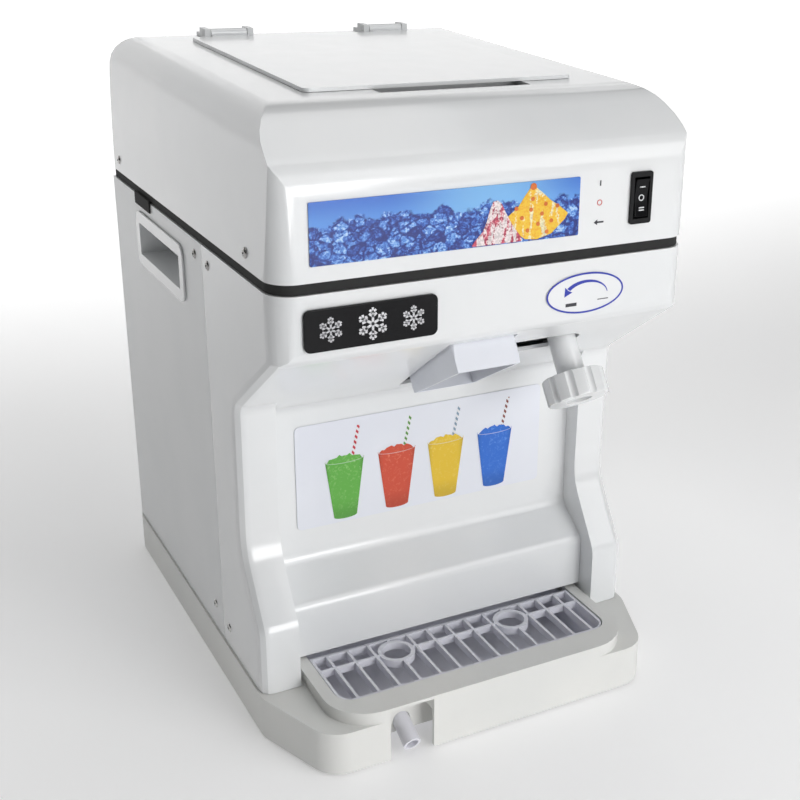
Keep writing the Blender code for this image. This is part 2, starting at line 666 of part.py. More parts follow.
def build_rear_panel():
    """Rear sheet between the side sheets, with vents and the hole for the mains inlet."""
    half = HALF_BODY - SHEET - GAP
    corners = rectangle(-half, half, BODY_BOTTOM_Z, BODY_TOP_Z)
    panel = prism("rear_panel", corners, BODY_REAR_Y - SHEET, BODY_REAR_Y, "y", "white_paint")
    slots, slot_width, slot_height, pitch = 9, 0.0040, 0.040, 0.014
    for row, bottom in enumerate((0.110, 0.245)):
        for index in range(slots):
            x = (index - (slots - 1) / 2) * pitch
            low = (x - slot_width / 2, BODY_REAR_Y - 0.010, bottom)
            high = (x + slot_width / 2, BODY_REAR_Y + 0.010, bottom + slot_height)
            cut(panel, block(f"vent_{row}_{index}", low, high))
    inlet_x, inlet_z, gland_radius = 0.100, 0.070, 0.0090
    hole = rod("inlet_hole", (inlet_x, BODY_REAR_Y - 0.010, inlet_z), (inlet_x, BODY_REAR_Y + 0.010, inlet_z),
               gland_radius + GAP, sides=24)
    cut(panel, hole)
    start = (inlet_x, BODY_REAR_Y - 0.012, inlet_z)
    gland = rod("mains_gland", start, (inlet_x, BODY_REAR_Y + 0.005, inlet_z), gland_radius, "black_matte", sides=24)
    join(gland, rod("gland_flange", (inlet_x, BODY_REAR_Y + GAP, inlet_z), (inlet_x, BODY_REAR_Y + 0.003, inlet_z),
                    gland_radius + 0.003, sides=24))
    cut(gland, rod("gland_bore", (inlet_x, BODY_REAR_Y - 0.03, inlet_z), (inlet_x, BODY_REAR_Y + 0.03, inlet_z),
                   0.0040, sides=16))


def build_gasket():
    """Black rubber strip between body and hood, with a tab above the left handle."""
    radii = (CORNER_RADIUS, CORNER_RADIUS, 0.004, 0.004)
    plan = rectangle(-HALF_BODY + 0.0012, HALF_BODY - 0.0012, depth(0.0012), BODY_REAR_Y - 0.0012, radii)
    gasket = prism("hood_gasket", plan, GASKET_Z, GASKET_Z + GASKET_HEIGHT, "z", "black_rubber")
    cut(gasket, prism("gasket_inside", inset(plan, 0.0045), 0.300, 0.420, "z"))
    outer, seat = -HALF_BODY - 0.0014, -HALF_BODY - GAP
    y0, y1 = depth(0.276), depth(0.319)
    join(gasket, block("gasket_tab", (outer, y0, BODY_TOP_Z - 0.0075), (seat, y1, GASKET_Z + 0.0020)),
         block("gasket_bridge", (outer + 0.0003, y0 + 0.001, GASKET_Z), (-HALF_BODY + 0.004, y1 - 0.001,
                                                                         GASKET_Z + 0.0015)))


def hood_profile():
    """Side outline of the hood, run past its bottom edge."""
    return [
        (0.0, HOOD_Z - 0.030),
        (BODY_DEPTH + HOOD_DRAFT * 0.030, HOOD_Z - 0.030),
        (BODY_DEPTH - HOOD_DRAFT * (HOOD_REAR_Z - HOOD_Z), HOOD_REAR_Z, HOOD_EDGE_RADIUS + 0.010),
        (*HOOD_SLOPE_TOP, 0.050),
        (0.0, HOOD_BAND_Z, 0.030),
    ]


def hood_shape(name, wall, material=None):
    """The hood's outside, or its hollow when a wall is given: three outlines that meet."""
    over = 0.040
    low = HOOD_Z - (0.010 if wall else 0.0)
    side = inset(at_depth(hood_profile()), wall)
    radius = HOOD_EDGE_RADIUS
    height = hood_top_z(0.0) - HOOD_Z
    top, bottom = HALF_BODY - HOOD_DRAFT * height, HALF_BODY + HOOD_DRAFT * (4 * over - height)
    front = inset([(-bottom, -4 * over), (bottom, -4 * over), (top, HOOD_EDGE_RISE, radius),
                   (-top, HOOD_EDGE_RISE, radius)], wall)
    lean = Matrix.Translation((0.0, depth(0.0), hood_top_z(0.0))) @ Matrix.Rotation(HOOD_TILT, 4, "X")
    shape = prism(name, side, -HALF_BODY - over, HALF_BODY + over, "x", material)
    combine(shape, prism(name + "_front", front, -over, BODY_DEPTH + over, "y", turn=lean), "INTERSECT")
    plan = inset(body_plan(BODY_DEPTH, 0.010), wall)
    return combine(shape, prism(name + "_plan", plan, low, 0.6, "z"), "INTERSECT")


def mouth_plan(clearance=0.0):
    """Outline of the hood's mouth below the lid."""
    half = LID_HALF_WIDTH - MOUTH_INSET
    corners = rectangle(-half, half, depth(LID_FRONT + MOUTH_INSET), depth(LID_BACK - MOUTH_INSET), MOUTH_RADIUS)
    return inset(corners, clearance)


def build_hood():
    """Moulded hood with its mouth, finger notch and the switch's hole."""
    hood = hood_shape("hood", 0.0, "white_gloss")
    cavity = hood_shape("hood_cavity", SHELL_WALL)
    mouth = prism("hood_mouth", mouth_plan(), 0.440, 0.500, "z")
    notch = block("finger_notch", (FINGER_NOTCH[0], depth(LID_FRONT - FINGER_NOTCH_DEPTH), 0.440),
                  (FINGER_NOTCH[1], depth(LID_FRONT + MOUTH_INSET + 0.004), 0.500))
    x, z = SWITCH_CENTRE
    half_width, half_height = SWITCH_SIZE[0] / 2 - 0.0020, SWITCH_SIZE[1] / 2 - 0.0020
    switch_hole = block("switch_hole", (x - half_width, depth(-0.01), z - half_height),
                        (x + half_width, depth(0.02), z + half_height))
    cut(hood, cavity, mouth, notch, switch_hole)


# ---------------------------------------------------------------- lid
HINGE_DEPTH = LID_BACK + 0.0090
HINGE_LIFT = HINGE_RADIUS + 0.0010
HINGE_PLACE = Vector((0.0, depth(HINGE_DEPTH), hood_top_z(HINGE_DEPTH) + HINGE_LIFT / math.cos(HOOD_TILT)))
LID_FRAME = Matrix.Translation(HINGE_PLACE) @ Matrix.Rotation(HOOD_TILT, 4, "X")


def build_lid():
    """Lid plate with a skirt in the mouth and two hinge barrels, made about its hinge axis."""
    floor = -HINGE_LIFT + GAP
    back, front = LID_BACK - HINGE_DEPTH, LID_FRONT - HINGE_DEPTH
    plate = rectangle(-LID_HALF_WIDTH, LID_HALF_WIDTH, front, back, 0.005)
    lid = prism("lid", plate, floor, floor + LID_THICKNESS, "z", "white_gloss", turn=LID_FRAME)
    rim = inset(plate, MOUTH_INSET + FIT)
    rim = [(corner[0], corner[1], MOUTH_RADIUS - FIT) for corner in rim]
    skirt = prism("lid_skirt", rim, floor - LID_SKIRT, floor + LID_THICKNESS / 2, "z", turn=LID_FRAME)
    cut(skirt, prism("lid_skirt_inside", inset(rim, 0.0020), floor - 0.02, floor, "z", turn=LID_FRAME))
    join(lid, skirt)
    for side in (-1, 1):
        x0, x1 = side * HINGE_X - HINGE_LENGTH / 2, side * HINGE_X + HINGE_LENGTH / 2
        tab = prism(f"lid_tab_{side}", [(back - 0.004, floor), (0.0, floor), (0.0, floor + LID_THICKNESS),
                                        (back - 0.004, floor + LID_THICKNESS)], x0, x1, "x", turn=LID_FRAME)
        barrel = rod(f"lid_barrel_{side}", LID_FRAME @ Vector((x0, 0, 0)), LID_FRAME @ Vector((x1, 0, 0)),
                     HINGE_RADIUS, sides=24)
        join(lid, tab, barrel)
    bore = rod("lid_bore", LID_FRAME @ Vector((-0.12, 0, 0)), LID_FRAME @ Vector((0.12, 0, 0)),
               HINGE_PIN_RADIUS + GAP, sides=16)
    cut(lid, bore)


def build_hinges():
    """Two knuckle brackets on the hood for each barrel, made as one bracket each, and the pins."""
    cheek, base_height = 0.0050, HINGE_LIFT - HINGE_RADIUS - 2 * GAP
    for side, name in ((-1, "left"), (1, "right")):
        inner, outer = HINGE_LENGTH / 2 + 0.0005, HINGE_LENGTH / 2 + 0.0005 + cheek
        x = side * HINGE_X
        foot_z = -HINGE_LIFT + GAP
        bracket = block(f"hinge_bracket_{name}", (x - outer, 0.0052, foot_z), (x + outer, 0.0200, foot_z + 0.003),
                        "steel")
        bracket.matrix_basis = LID_FRAME @ bracket.matrix_basis
        for end in (-1, 1):
            low, high = sorted((x + end * inner, x + end * outer))
            ear = block(f"hinge_ear_{name}_{end}", (low, -HINGE_RADIUS, foot_z), (high, 0.0110, HINGE_RADIUS))
            ear.matrix_basis = LID_FRAME @ ear.matrix_basis
            join(bracket, ear)
        cut(bracket, rod(f"hinge_bore_{name}", LID_FRAME @ Vector((x - 0.03, 0, 0)),
                         LID_FRAME @ Vector((x + 0.03, 0, 0)), HINGE_PIN_RADIUS + GAP, sides=16))
        rod(f"hinge_pin_{name}", LID_FRAME @ Vector((x - outer, 0, 0)), LID_FRAME @ Vector((x + outer, 0, 0)),
            HINGE_PIN_RADIUS, "steel", sides=16)


def build_interlock():
    """Safety switch that the lid's skirt holds down through a plunger."""
    x = LID_HALF_WIDTH - MOUTH_INSET - FIT - 0.0010
    start, end = 0.288, 0.308
    middle = (start + end) / 2
    skirt_z = hood_top_z(start) - LID_SKIRT
    body_top = skirt_z - 0.0035
    body = block("interlock_switch", (x - 0.0020, depth(start), body_top - 0.016),
                 (x + 0.0130, depth(end), body_top), "black_matte")
    cut(body, rod("plunger_bore", (x, depth(middle), body_top - 0.010), (x, depth(middle), body_top + 0.01),
                  0.0015, sides=16))
    rod("interlock_plunger", (x, depth(middle), body_top - 0.0080), (x, depth(middle), skirt_z - GAP), 0.0012,
        "steel", sides=16)


# ---------------------------------------------------------------- ice path
HOPPER_TOP_Z = 0.4595
HOPPER_BACK = 0.2400
HOPPER_HALF = 0.0870


def frustum(name, low, high, material=None):
    """A box whose top and bottom are different rectangles: (x0, x1, y0, y1, z) each."""
    shape = bmesh.new()
    bmesh.ops.create_cube(shape, size=2.0)
    for corner in shape.verts:
        x0, x1, y0, y1, z = high if corner.co.z > 0.0 else low
        corner.co = (x1 if corner.co.x > 0.0 else x0, y1 if corner.co.y > 0.0 else y0, z)
    mesh = bpy.data.meshes.new(name)
    shape.to_mesh(mesh)
    shape.free()
    return add(name, mesh, material)


def build_hopper():
    """Sheet funnel from the mouth down to the drum, with a flat apron behind it."""
    wall = 0.0020
    start, end = LID_FRONT + MOUTH_INSET + 0.0030, HOPPER_BACK
    drum_top = DRUM_Z + DRUM_RADIUS + DRUM_WALL
    low_z = drum_top - 0.014
    throat = (-0.046, 0.046, depth(DRUM_FRONT + 0.012), depth(DRUM_BACK - 0.010), low_z)
    hopper = frustum("hopper", throat, (-HOPPER_HALF, HOPPER_HALF, depth(start), depth(end), HOPPER_TOP_Z), "steel")
    inside = frustum("hopper_inside",
                     (throat[0] + wall, throat[1] - wall, throat[2] + wall, throat[3] - wall, low_z),
                     (-HOPPER_HALF + wall, HOPPER_HALF - wall, depth(start) + wall, depth(end) - wall, HOPPER_TOP_Z))
    through = block("hopper_through", (throat[0] + wall, throat[2] + wall, low_z - 0.03),
                    (throat[1] - wall, throat[3] - wall, low_z + 0.004))
    over = block("hopper_over", (-HOPPER_HALF + wall, depth(start) + wall, HOPPER_TOP_Z - 0.0001),
                 (HOPPER_HALF - wall, depth(end) - wall, HOPPER_TOP_Z + 0.02))
    apron = block("hopper_apron", (-HOPPER_HALF, depth(end) - wall, HOPPER_TOP_Z - 0.0020),
                  (HOPPER_HALF, depth(LID_BACK - MOUTH_INSET + 0.001), HOPPER_TOP_Z))
    clear = rod("hopper_drum_clear", (0, depth(DRUM_FRONT - 0.02), DRUM_Z), (0, depth(DRUM_BACK + 0.02), DRUM_Z),
                DRUM_RADIUS + DRUM_WALL + GAP, sides=64)
    cut(join(hopper, apron), inside, through, over, clear)


def build_drum():
    """Cutting drum: closed front, open top for the ice, slot below for the blade, flange at the frame."""
    outer = DRUM_RADIUS + DRUM_WALL
    y0, y1 = depth(DRUM_FRONT), depth(DRUM_BACK)
    drum = rod("cutting_drum", (0, y0, DRUM_Z), (0, y1, DRUM_Z), outer, "aluminium", sides=64)
    flange = block("drum_flange", (-outer - 0.008, y1 - 0.004, DRUM_Z - 0.012), (outer + 0.008, y1, DRUM_Z + 0.012))
    inside = rod("drum_inside", (0, y0 + DRUM_WALL, DRUM_Z), (0, y1 + 0.01, DRUM_Z), DRUM_RADIUS, sides=64)
    window = block("drum_window", (-0.043, y0 + 0.015, DRUM_Z + 0.040), (0.043, y1 - 0.013, DRUM_Z + 0.10))
    slot = block("drum_slot", (-0.020, depth(BLADE_DEPTHS[0] - 0.003), DRUM_Z - 0.10),
                 (0.0045, depth(BLADE_DEPTHS[1] + 0.003), DRUM_Z - 0.050))
    cut(join(drum, flange), inside, window, slot)


BLADE_DEPTHS = (0.0680, 0.1200)
BLADE_TILT = math.radians(24.0)
BLADE_WIDTH = 0.0200
BLADE_THICKNESS = 0.0018
BLADE_EDGE = Vector((-0.0130, DRUM_Z - DRUM_RADIUS + 0.0002))
BLADE_RUN = Vector((math.cos(BLADE_TILT), -math.sin(BLADE_TILT)))
BLADE_UP = Vector((math.sin(BLADE_TILT), math.cos(BLADE_TILT)))
CARRIER_TOP_Z = DRUM_Z - DRUM_RADIUS - DRUM_WALL - 0.0065
CARRIER_THICKNESS = 0.0045


def blade_point(along, height):
    """A point (x, z) along the blade from its edge, at a height above its middle."""
    return tuple(BLADE_EDGE + BLADE_RUN * along + BLADE_UP * height)


def build_cutter():
    """Blade on its carrier, which the adjuster screw moves square to the slanted underside."""
    half = BLADE_THICKNESS / 2
    y0, y1 = depth(BLADE_DEPTHS[0]), depth(BLADE_DEPTHS[1])
    edge = 0.0030
    prism("blade", [blade_point(0.0, half), blade_point(edge, -half), blade_point(BLADE_WIDTH, -half),
                    blade_point(BLADE_WIDTH, half)], y0, y1, "y", "steel")
    seat_front, seat_back = blade_point(0.008, -half - GAP), blade_point(BLADE_WIDTH, -half - GAP)
    low = CARRIER_TOP_Z - CARRIER_THICKNESS
    right = KNOB_X + 0.014
    outline_points = [(seat_front[0], low), (right, low), (right, CARRIER_TOP_Z),
                      (seat_back[0] + 0.002, CARRIER_TOP_Z), seat_back, seat_front]
    carrier = prism("blade_carrier", outline_points, y0, y1, "y", "aluminium")
    frame = slope_frame(KNOB_X, KNOB_DEPTH)
    arm = slope_block("carrier_arm", frame, (-0.014, -0.012, 0.0090), (0.014, 0.034, 0.0140))
    join(carrier, arm)
    cut(carrier, slope_rod("carrier_thread", frame, -0.01, 0.05, SCREW_RADIUS + GAP, sides=24))
    for index, share in enumerate((0.25, 0.75)):
        y = y0 + (y1 - y0) * share
        x, z = blade_point(0.0135, half + GAP)
        top_x, top_z = blade_point(0.0135, half + GAP + 0.0014)
        rod(f"blade_screw_{index + 1}", (x, y, z), (top_x, y, top_z), 0.0030, "steel", sides=16)


def chute_shape(name, wall, low, high, material=None):
    """The tapered duct between two heights of its frame: low is its lower edge's front and rear height."""
    frame = slope_frame(CHUTE_CENTRE_X, CHUTE_START)
    lean = [taper / (CHUTE_RISE + CHUTE_DROPS[0]) for taper in CHUTE_TAPERS]

    def reach(z):
        fall = CHUTE_RISE - z
        return lean[0] * fall + wall, CHUTE_LENGTH - lean[1] * fall - wall, CHUTE_HALF_WIDTH - lean[2] * fall - wall

    side = [(reach(high)[0], high), (reach(high)[1], high), (reach(low[1])[1], low[1]), (reach(low[0])[0], low[0])]
    lowest = min(low)
    front = [(reach(high)[2], high), (-reach(high)[2], high), (-reach(lowest)[2], lowest), (reach(lowest)[2], lowest)]
    plan = rectangle(wall - CHUTE_HALF_WIDTH, CHUTE_HALF_WIDTH - wall, wall, CHUTE_LENGTH - wall, CHUTE_RADIUS)
    shape = prism(name, side, -0.1, 0.1, "x", material, turn=frame)
    combine(shape, prism(name + "_front", front, -0.1, 0.2, "y", turn=frame), "INTERSECT")
    return combine(shape, prism(name + "_plan", plan, -0.1, 0.1, "z", turn=frame), "INTERSECT")


def build_chute():
    """Tapered duct through the slanted underside, held by a flange inside the head."""
    drop_front, drop_rear = CHUTE_DROPS
    chute = chute_shape("chute", 0.0, (-drop_front, -drop_rear), CHUTE_RISE, "grille_white")
    inside = chute_shape("chute_inside", CHUTE_WALL, (-drop_front - 0.01, -drop_rear - 0.01), CHUTE_RISE + 0.01)
    half, seat = CHUTE_HALF_WIDTH, SHELL_WALL + GAP
    flange = slope_block("chute_flange", slope_frame(CHUTE_CENTRE_X, CHUTE_START), (-half - 0.004, -0.003, seat),
                         (half + 0.004, CHUTE_LENGTH * 0.9, CHUTE_RISE))
    cut(join(chute, flange), inside)


def build_adjuster():
    """Lobed knob with its hollow end, and the steel screw that moves the carrier."""
    frame = slope_frame(KNOB_X, KNOB_DEPTH)
    low = -STEM_LENGTH - KNOB_HEIGHT
    knob = slope_rod("adjuster_knob", frame, low, -STEM_LENGTH, KNOB_RADIUS, "white_gloss", sides=64)
    bevel(knob, KNOB_ROUNDING, 2)
    for index in range(KNOB_LOBES):
        angle = 2 * math.pi * (index + 0.5) / KNOB_LOBES
        place = Vector(((KNOB_RADIUS + 0.0012) * math.cos(angle), (KNOB_RADIUS + 0.0012) * math.sin(angle), 0.0))
        cut(knob, rod(f"knob_groove_{index}", frame @ (place + Vector((0, 0, low - 0.01))),
                      frame @ (place - Vector((0, 0, STEM_LENGTH - 0.01))), 0.0034, sides=16))
    stem = slope_rod("knob_stem", frame, -STEM_LENGTH - 0.002, 0.0055, STEM_RADIUS)
    hollow = slope_rod("knob_hollow", frame, low - 0.01, low + 0.011, 0.0100)
    bore = slope_rod("knob_bore", frame, low + 0.005, 0.03, SCREW_RADIUS + GAP, sides=24)
    cut(join(knob, stem), hollow, bore)
    slope_rod("adjuster_screw", frame, low + 0.012, 0.030, SCREW_RADIUS, "steel", sides=24)


# ---------------------------------------------------------------- drive
PLATE_DEPTH = DRUM_BACK + GAP
BEARING_HOUSE_START = PLATE_DEPTH + FRAME_PLATE + GAP
BEARING_HOUSE_LENGTH = 0.0380
MOTOR_Z = DRUM_Z - BELT_CENTRES
MOTOR_PLATE_DEPTH = PULLEY_DEPTH + PULLEY_WIDTH / 2 + 0.0070
MOTOR_FRONT = MOTOR_PLATE_DEPTH + 0.0040 + GAP


def build_frame():
    """Upright plate that carries drum, bearings and hopper, and two rails to the rear panel."""
    half = 0.120
    top = DRUM_Z + 0.040
    plate = prism("frame_plate", rectangle(-half, half, DECK_Z + GAP, top, 0.006), depth(PLATE_DEPTH),
                  depth(PLATE_DEPTH + FRAME_PLATE), "y", "steel")
    cut(plate, rod("plate_bore", (0, depth(PLATE_DEPTH - 0.01), DRUM_Z), (0, depth(PLATE_DEPTH + 0.02), DRUM_Z),
                   SHAFT_RADIUS + 0.004, sides=32))
    rail = 0.012
    rail_top = HANDLE_HEIGHTS[0] - 0.006
    for side, name in ((-1, "left"), (1, "right")):
        x0, x1 = sorted((side * (HALF_BODY - 0.008), side * (HALF_BODY - 0.008 - rail)))
        block(f"frame_rail_{name}", (x0, depth(PLATE_DEPTH + FRAME_PLATE + GAP), rail_top - rail),
              (x1, BODY_REAR_Y - SHEET - GAP, rail_top), "steel")


def build_shaft():
    """Rotor, its shaft, two bearings in their housing, and the driven pulley."""
    start = BEARING_HOUSE_START
    place = (0.0, depth(start + BEARING_HOUSE_LENGTH / 2), DRUM_Z)
    back = (0.0, 1.0, 0.0)
    half = BEARING_HOUSE_LENGTH / 2
    bore = BEARING_RADIUS + GAP
    house = rod("bearing_housing", (0, depth(start), DRUM_Z), (0, depth(start + BEARING_HOUSE_LENGTH), DRUM_Z),
                bore + 0.006, "aluminium", sides=40)
    join(house, rod("bearing_flange", (0, depth(start), DRUM_Z), (0, depth(start + 0.004), DRUM_Z), bore + 0.018,
                    sides=40))
    cut(house, rod("bearing_bore", (0, depth(start - 0.01), DRUM_Z), (0, depth(start + 0.06), DRUM_Z), bore, sides=40))
    for index, offset in enumerate((-half, half - BEARING_LENGTH)):
        middle = (place[0], place[1] + offset + BEARING_LENGTH / 2, place[2])
        reach = BEARING_LENGTH / 2 - 0.0005
        inner = SHAFT_RADIUS + GAP
        turned(f"shaft_bearing_{index + 1}", [(BEARING_RADIUS, reach), (BEARING_RADIUS, -reach), (inner, -reach),
                                              (inner, reach)], 32, middle, back, "steel")
    rod("rotor_shaft", (0, depth(DRUM_FRONT + 0.016), DRUM_Z),
        (0, depth(PULLEY_DEPTH + PULLEY_WIDTH / 2 + 0.004), DRUM_Z), SHAFT_RADIUS, "steel", sides=32)
    hub = rod("rotor", (0, depth(DRUM_FRONT + 0.0060), DRUM_Z), (0, depth(DRUM_BACK - 0.0030), DRUM_Z), 0.0170,
              "aluminium", sides=32)
    for index in range(PADDLE_COUNT):
        turn = Matrix.Translation((0, 0, DRUM_Z)) @ Matrix.Rotation(2 * math.pi * index / PADDLE_COUNT, 4, "Y")
        paddle = block(f"paddle_{index}", (-0.0020, depth(DRUM_FRONT + 0.0060), 0.010),
                       (0.0020, depth(DRUM_BACK - 0.0040), PADDLE_RADIUS))
        paddle.matrix_basis = turn @ paddle.matrix_basis
        join(hub, paddle)
    cut(hub, rod("rotor_bore", (0, depth(DRUM_FRONT + 0.0150), DRUM_Z), (0, depth(DRUM_BACK + 0.02), DRUM_Z),
                 SHAFT_RADIUS + GAP, sides=32))


def pulley(name, radius, bore, z, material):
    """V-belt pulley; radius is the groove's bottom."""
    half, lip = PULLEY_WIDTH / 2, BELT_HEIGHT + 0.0010
    groove = BELT_WIDTH / 2 + 0.0005
    profile = [(radius + lip, half), (radius + lip, groove), (radius, groove - 0.0010), (radius, -groove + 0.0010),
               (radius + lip, -groove), (radius + lip, -half), (bore, -half), (bore, half)]
    return turned(name, profile, 48, (0.0, depth(PULLEY_DEPTH), z), (0.0, 1.0, 0.0), material)


def belt_outline(grow):
    """Outline (x, z) of the belt's loop round both pulleys, grown from the groove bottoms."""
    top, low = DRIVEN_PULLEY_RADIUS + grow, MOTOR_PULLEY_RADIUS + grow
    lean = math.asin((top - low) / BELT_CENTRES)
    points, steps = [], 28
    for index in range(steps + 1):
        angle = -lean + (math.pi + 2 * lean) * index / steps
        points.append((top * math.cos(angle), DRUM_Z + top * math.sin(angle)))
    for index in range(steps // 2 + 1):
        angle = math.pi + lean + (math.pi - 2 * lean) * index / (steps // 2)
        points.append((low * math.cos(angle), MOTOR_Z + low * math.sin(angle)))
    return points


def build_drive():
    """Pulleys, belt, motor with its shaft, motor plate and capacitor."""
    pulley("driven_pulley", DRIVEN_PULLEY_RADIUS, SHAFT_RADIUS + GAP, DRUM_Z, "aluminium")
    motor_shaft = 0.0060
    pulley("motor_pulley", MOTOR_PULLEY_RADIUS, motor_shaft + GAP, MOTOR_Z, "steel")
    half = BELT_WIDTH / 2 - 0.0015
    slack = 0.0006
    belt = prism("drive_belt", belt_outline(BELT_HEIGHT), depth(PULLEY_DEPTH) - half, depth(PULLEY_DEPTH) + half,
                 "y", "black_rubber")
    cut(belt, prism("belt_inside", belt_outline(slack), depth(PULLEY_DEPTH) - 0.02, depth(PULLEY_DEPTH) + 0.02, "y"))
    plate_back = MOTOR_PLATE_DEPTH + 0.0040
    plate = prism("motor_plate", rectangle(-0.058, 0.058, DECK_Z + GAP, MOTOR_Z + 0.040, 0.004),
                  depth(MOTOR_PLATE_DEPTH), depth(plate_back), "y", "steel")
    foot = block("motor_plate_foot", (-0.058, depth(MOTOR_PLATE_DEPTH), DECK_Z + GAP),
                 (0.058, depth(plate_back + 0.050), DECK_Z + GAP + 0.0040))
    join(plate, foot)
    cut(plate, rod("motor_plate_hole", (0, depth(MOTOR_PLATE_DEPTH - 0.01), MOTOR_Z),
                   (0, depth(plate_back + 0.01), MOTOR_Z), motor_shaft + 0.006, sides=32))
    motor = rod("motor", (0, depth(MOTOR_FRONT), MOTOR_Z), (0, depth(MOTOR_FRONT + MOTOR_LENGTH), MOTOR_Z),
                MOTOR_RADIUS, "motor_grey", sides=48)
    cut(motor, rod("motor_bore", (0, depth(MOTOR_FRONT - 0.01), MOTOR_Z), (0, depth(MOTOR_FRONT + 0.030), MOTOR_Z),
                   motor_shaft + GAP, sides=24))
    rod("motor_shaft", (0, depth(PULLEY_DEPTH - PULLEY_WIDTH / 2 - 0.002), MOTOR_Z),
        (0, depth(MOTOR_FRONT + 0.028), MOTOR_Z), motor_shaft, "steel", sides=24)
    radius = 0.018
    z = DECK_Z + GAP + radius
    rod("motor_capacitor", (-0.095, depth(0.250), z), (-0.095, depth(0.320), z), radius, "black_matte", sides=32)


# ---------------------------------------------------------------- front details
def face_plate(name, box, thickness, radius, material, face_depth):
    """A thin plate stuck on an upright face: box is (x0, x1, z0, z1)."""
    return prism(name, rectangle(*box, radius), depth(face_depth) - GAP - thickness, depth(face_depth) - GAP, "y",
                 material)


def build_front_details():
    """Badge, banner, cup picture and dial label."""
    face_plate("badge", BADGE, 0.0022, 0.0045, "black_gloss", 0.0)
    face_plate("banner", BANNER, 0.0006, 0.0010, "blue_print", 0.0)
    face_plate("cup_picture", STICKER, 0.0006, 0.0040, "white_print", ALCOVE_BACK)
    x, z = DIAL_CENTRE
    steps = 40
    oval = []
    for index in range(steps):
        angle = 2 * math.pi * index / steps
        oval.append((x + DIAL_SIZE[0] / 2 * math.cos(angle), z + DIAL_SIZE[1] / 2 * math.sin(angle)))
    prism("dial_label", oval, depth(0.0) - GAP - 0.0005, depth(0.0) - GAP, "y", "white_print")


ROCKER_AXIS_DEPTH = 0.0040
ROCKER_RADIUS = 0.0150


def build_switch():
    """Rocker switch: bezel clipped in the hood, and the rocker on its cross axis."""
    x, z = SWITCH_CENTRE
    half_x, half_z = SWITCH_SIZE[0] / 2, SWITCH_SIZE[1] / 2
    bezel = prism("switch_bezel", rectangle(x - half_x, x + half_x, z - half_z, z + half_z, 0.0020),
                  depth(-0.0022), depth(0.0) - GAP, "y", "black_matte")
    box_x, box_z = half_x - 0.0020 - GAP, half_z - 0.0020 - GAP
    body = block("switch_body", (x - box_x, depth(-0.001), z - box_z), (x + box_x, depth(0.0220), z + box_z))
    room_x, room_z = ROCKER_SIZE[0] / 2 + 0.0008, ROCKER_SIZE[1] / 2 + 0.0012
    room = block("switch_room", (x - room_x, depth(-0.01), z - room_z), (x + room_x, depth(0.0160), z + room_z))
    cut(join(bezel, body), room)
    half = ROCKER_SIZE[1] / 2
    face = -0.0030 - ROCKER_AXIS_DEPTH
    bend = 0.0016
    profile = [(face, half), (face + bend, 0.0), (face, -half), (0.0030, -half * 0.55), (0.0030, half * 0.55)]
    place = Vector((x, depth(ROCKER_AXIS_DEPTH), z))
    prism("switch_rocker", [(p[0], p[1]) for p in profile], -ROCKER_SIZE[0] / 2, ROCKER_SIZE[0] / 2, "x",
          "black_gloss", turn=Matrix.Translation(place))


def build_all():
    """Every piece, in the order that it would be put together."""
    build_base()
    build_feet()
    build_drip_pan()
    build_grille()
    build_front_housing()
    for side in (-1, 1):
        build_side_panel(side)
        build_handle(side)
    build_rear_panel()
    build_gasket()
    build_hood()
    build_frame()
    build_shaft()
    build_drive()
    build_drum()
    build_hopper()
    build_cutter()
    build_chute()
    build_adjuster()
    build_lid()
    build_hinges()
    build_interlock()
    build_switch()
    build_front_details()


build_all()
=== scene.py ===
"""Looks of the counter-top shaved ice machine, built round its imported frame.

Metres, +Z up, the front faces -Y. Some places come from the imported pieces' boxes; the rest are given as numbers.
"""

import json
import logging
import math
from dataclasses import dataclass, field
from enum import Enum
from typing import Any, Iterable, Optional, Sequence, Union

import bmesh
import bpy
from mathutils import Matrix, Vector

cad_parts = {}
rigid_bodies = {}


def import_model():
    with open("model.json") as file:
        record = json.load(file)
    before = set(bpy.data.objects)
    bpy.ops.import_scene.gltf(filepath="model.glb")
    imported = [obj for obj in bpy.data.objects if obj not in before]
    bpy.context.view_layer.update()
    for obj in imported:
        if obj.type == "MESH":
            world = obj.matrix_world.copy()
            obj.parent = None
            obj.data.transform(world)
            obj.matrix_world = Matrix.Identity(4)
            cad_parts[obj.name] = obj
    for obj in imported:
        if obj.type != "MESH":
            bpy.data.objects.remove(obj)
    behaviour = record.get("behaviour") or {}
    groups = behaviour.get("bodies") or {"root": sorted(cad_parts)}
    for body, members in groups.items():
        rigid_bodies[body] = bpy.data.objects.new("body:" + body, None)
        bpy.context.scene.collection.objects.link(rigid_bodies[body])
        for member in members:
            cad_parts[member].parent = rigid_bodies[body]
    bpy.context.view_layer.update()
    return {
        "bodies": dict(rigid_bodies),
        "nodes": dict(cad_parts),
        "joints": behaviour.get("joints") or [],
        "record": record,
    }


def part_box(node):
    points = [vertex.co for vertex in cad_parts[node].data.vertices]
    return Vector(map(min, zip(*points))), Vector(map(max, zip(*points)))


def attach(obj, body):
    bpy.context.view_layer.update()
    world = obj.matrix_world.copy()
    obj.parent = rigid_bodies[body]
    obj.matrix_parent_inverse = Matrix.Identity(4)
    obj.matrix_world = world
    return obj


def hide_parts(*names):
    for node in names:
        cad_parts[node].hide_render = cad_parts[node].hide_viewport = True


LOG = logging.getLogger("shaved_ice_machine")
Point = tuple[float, float]
Colour = tuple[float, float, float]


class Body(Enum):
    """Moving bodies of the machine."""

    MACHINE = "machine"
    LID = "lid"
    ROTOR = "rotor_group"
    MOTOR = "motor_rotor"
    ADJUSTER = "adjuster"
    CUTTER = "cutter"
    GRILLE = "grille"
    ROCKER = "rocker"
    PLUNGER = "plunger"


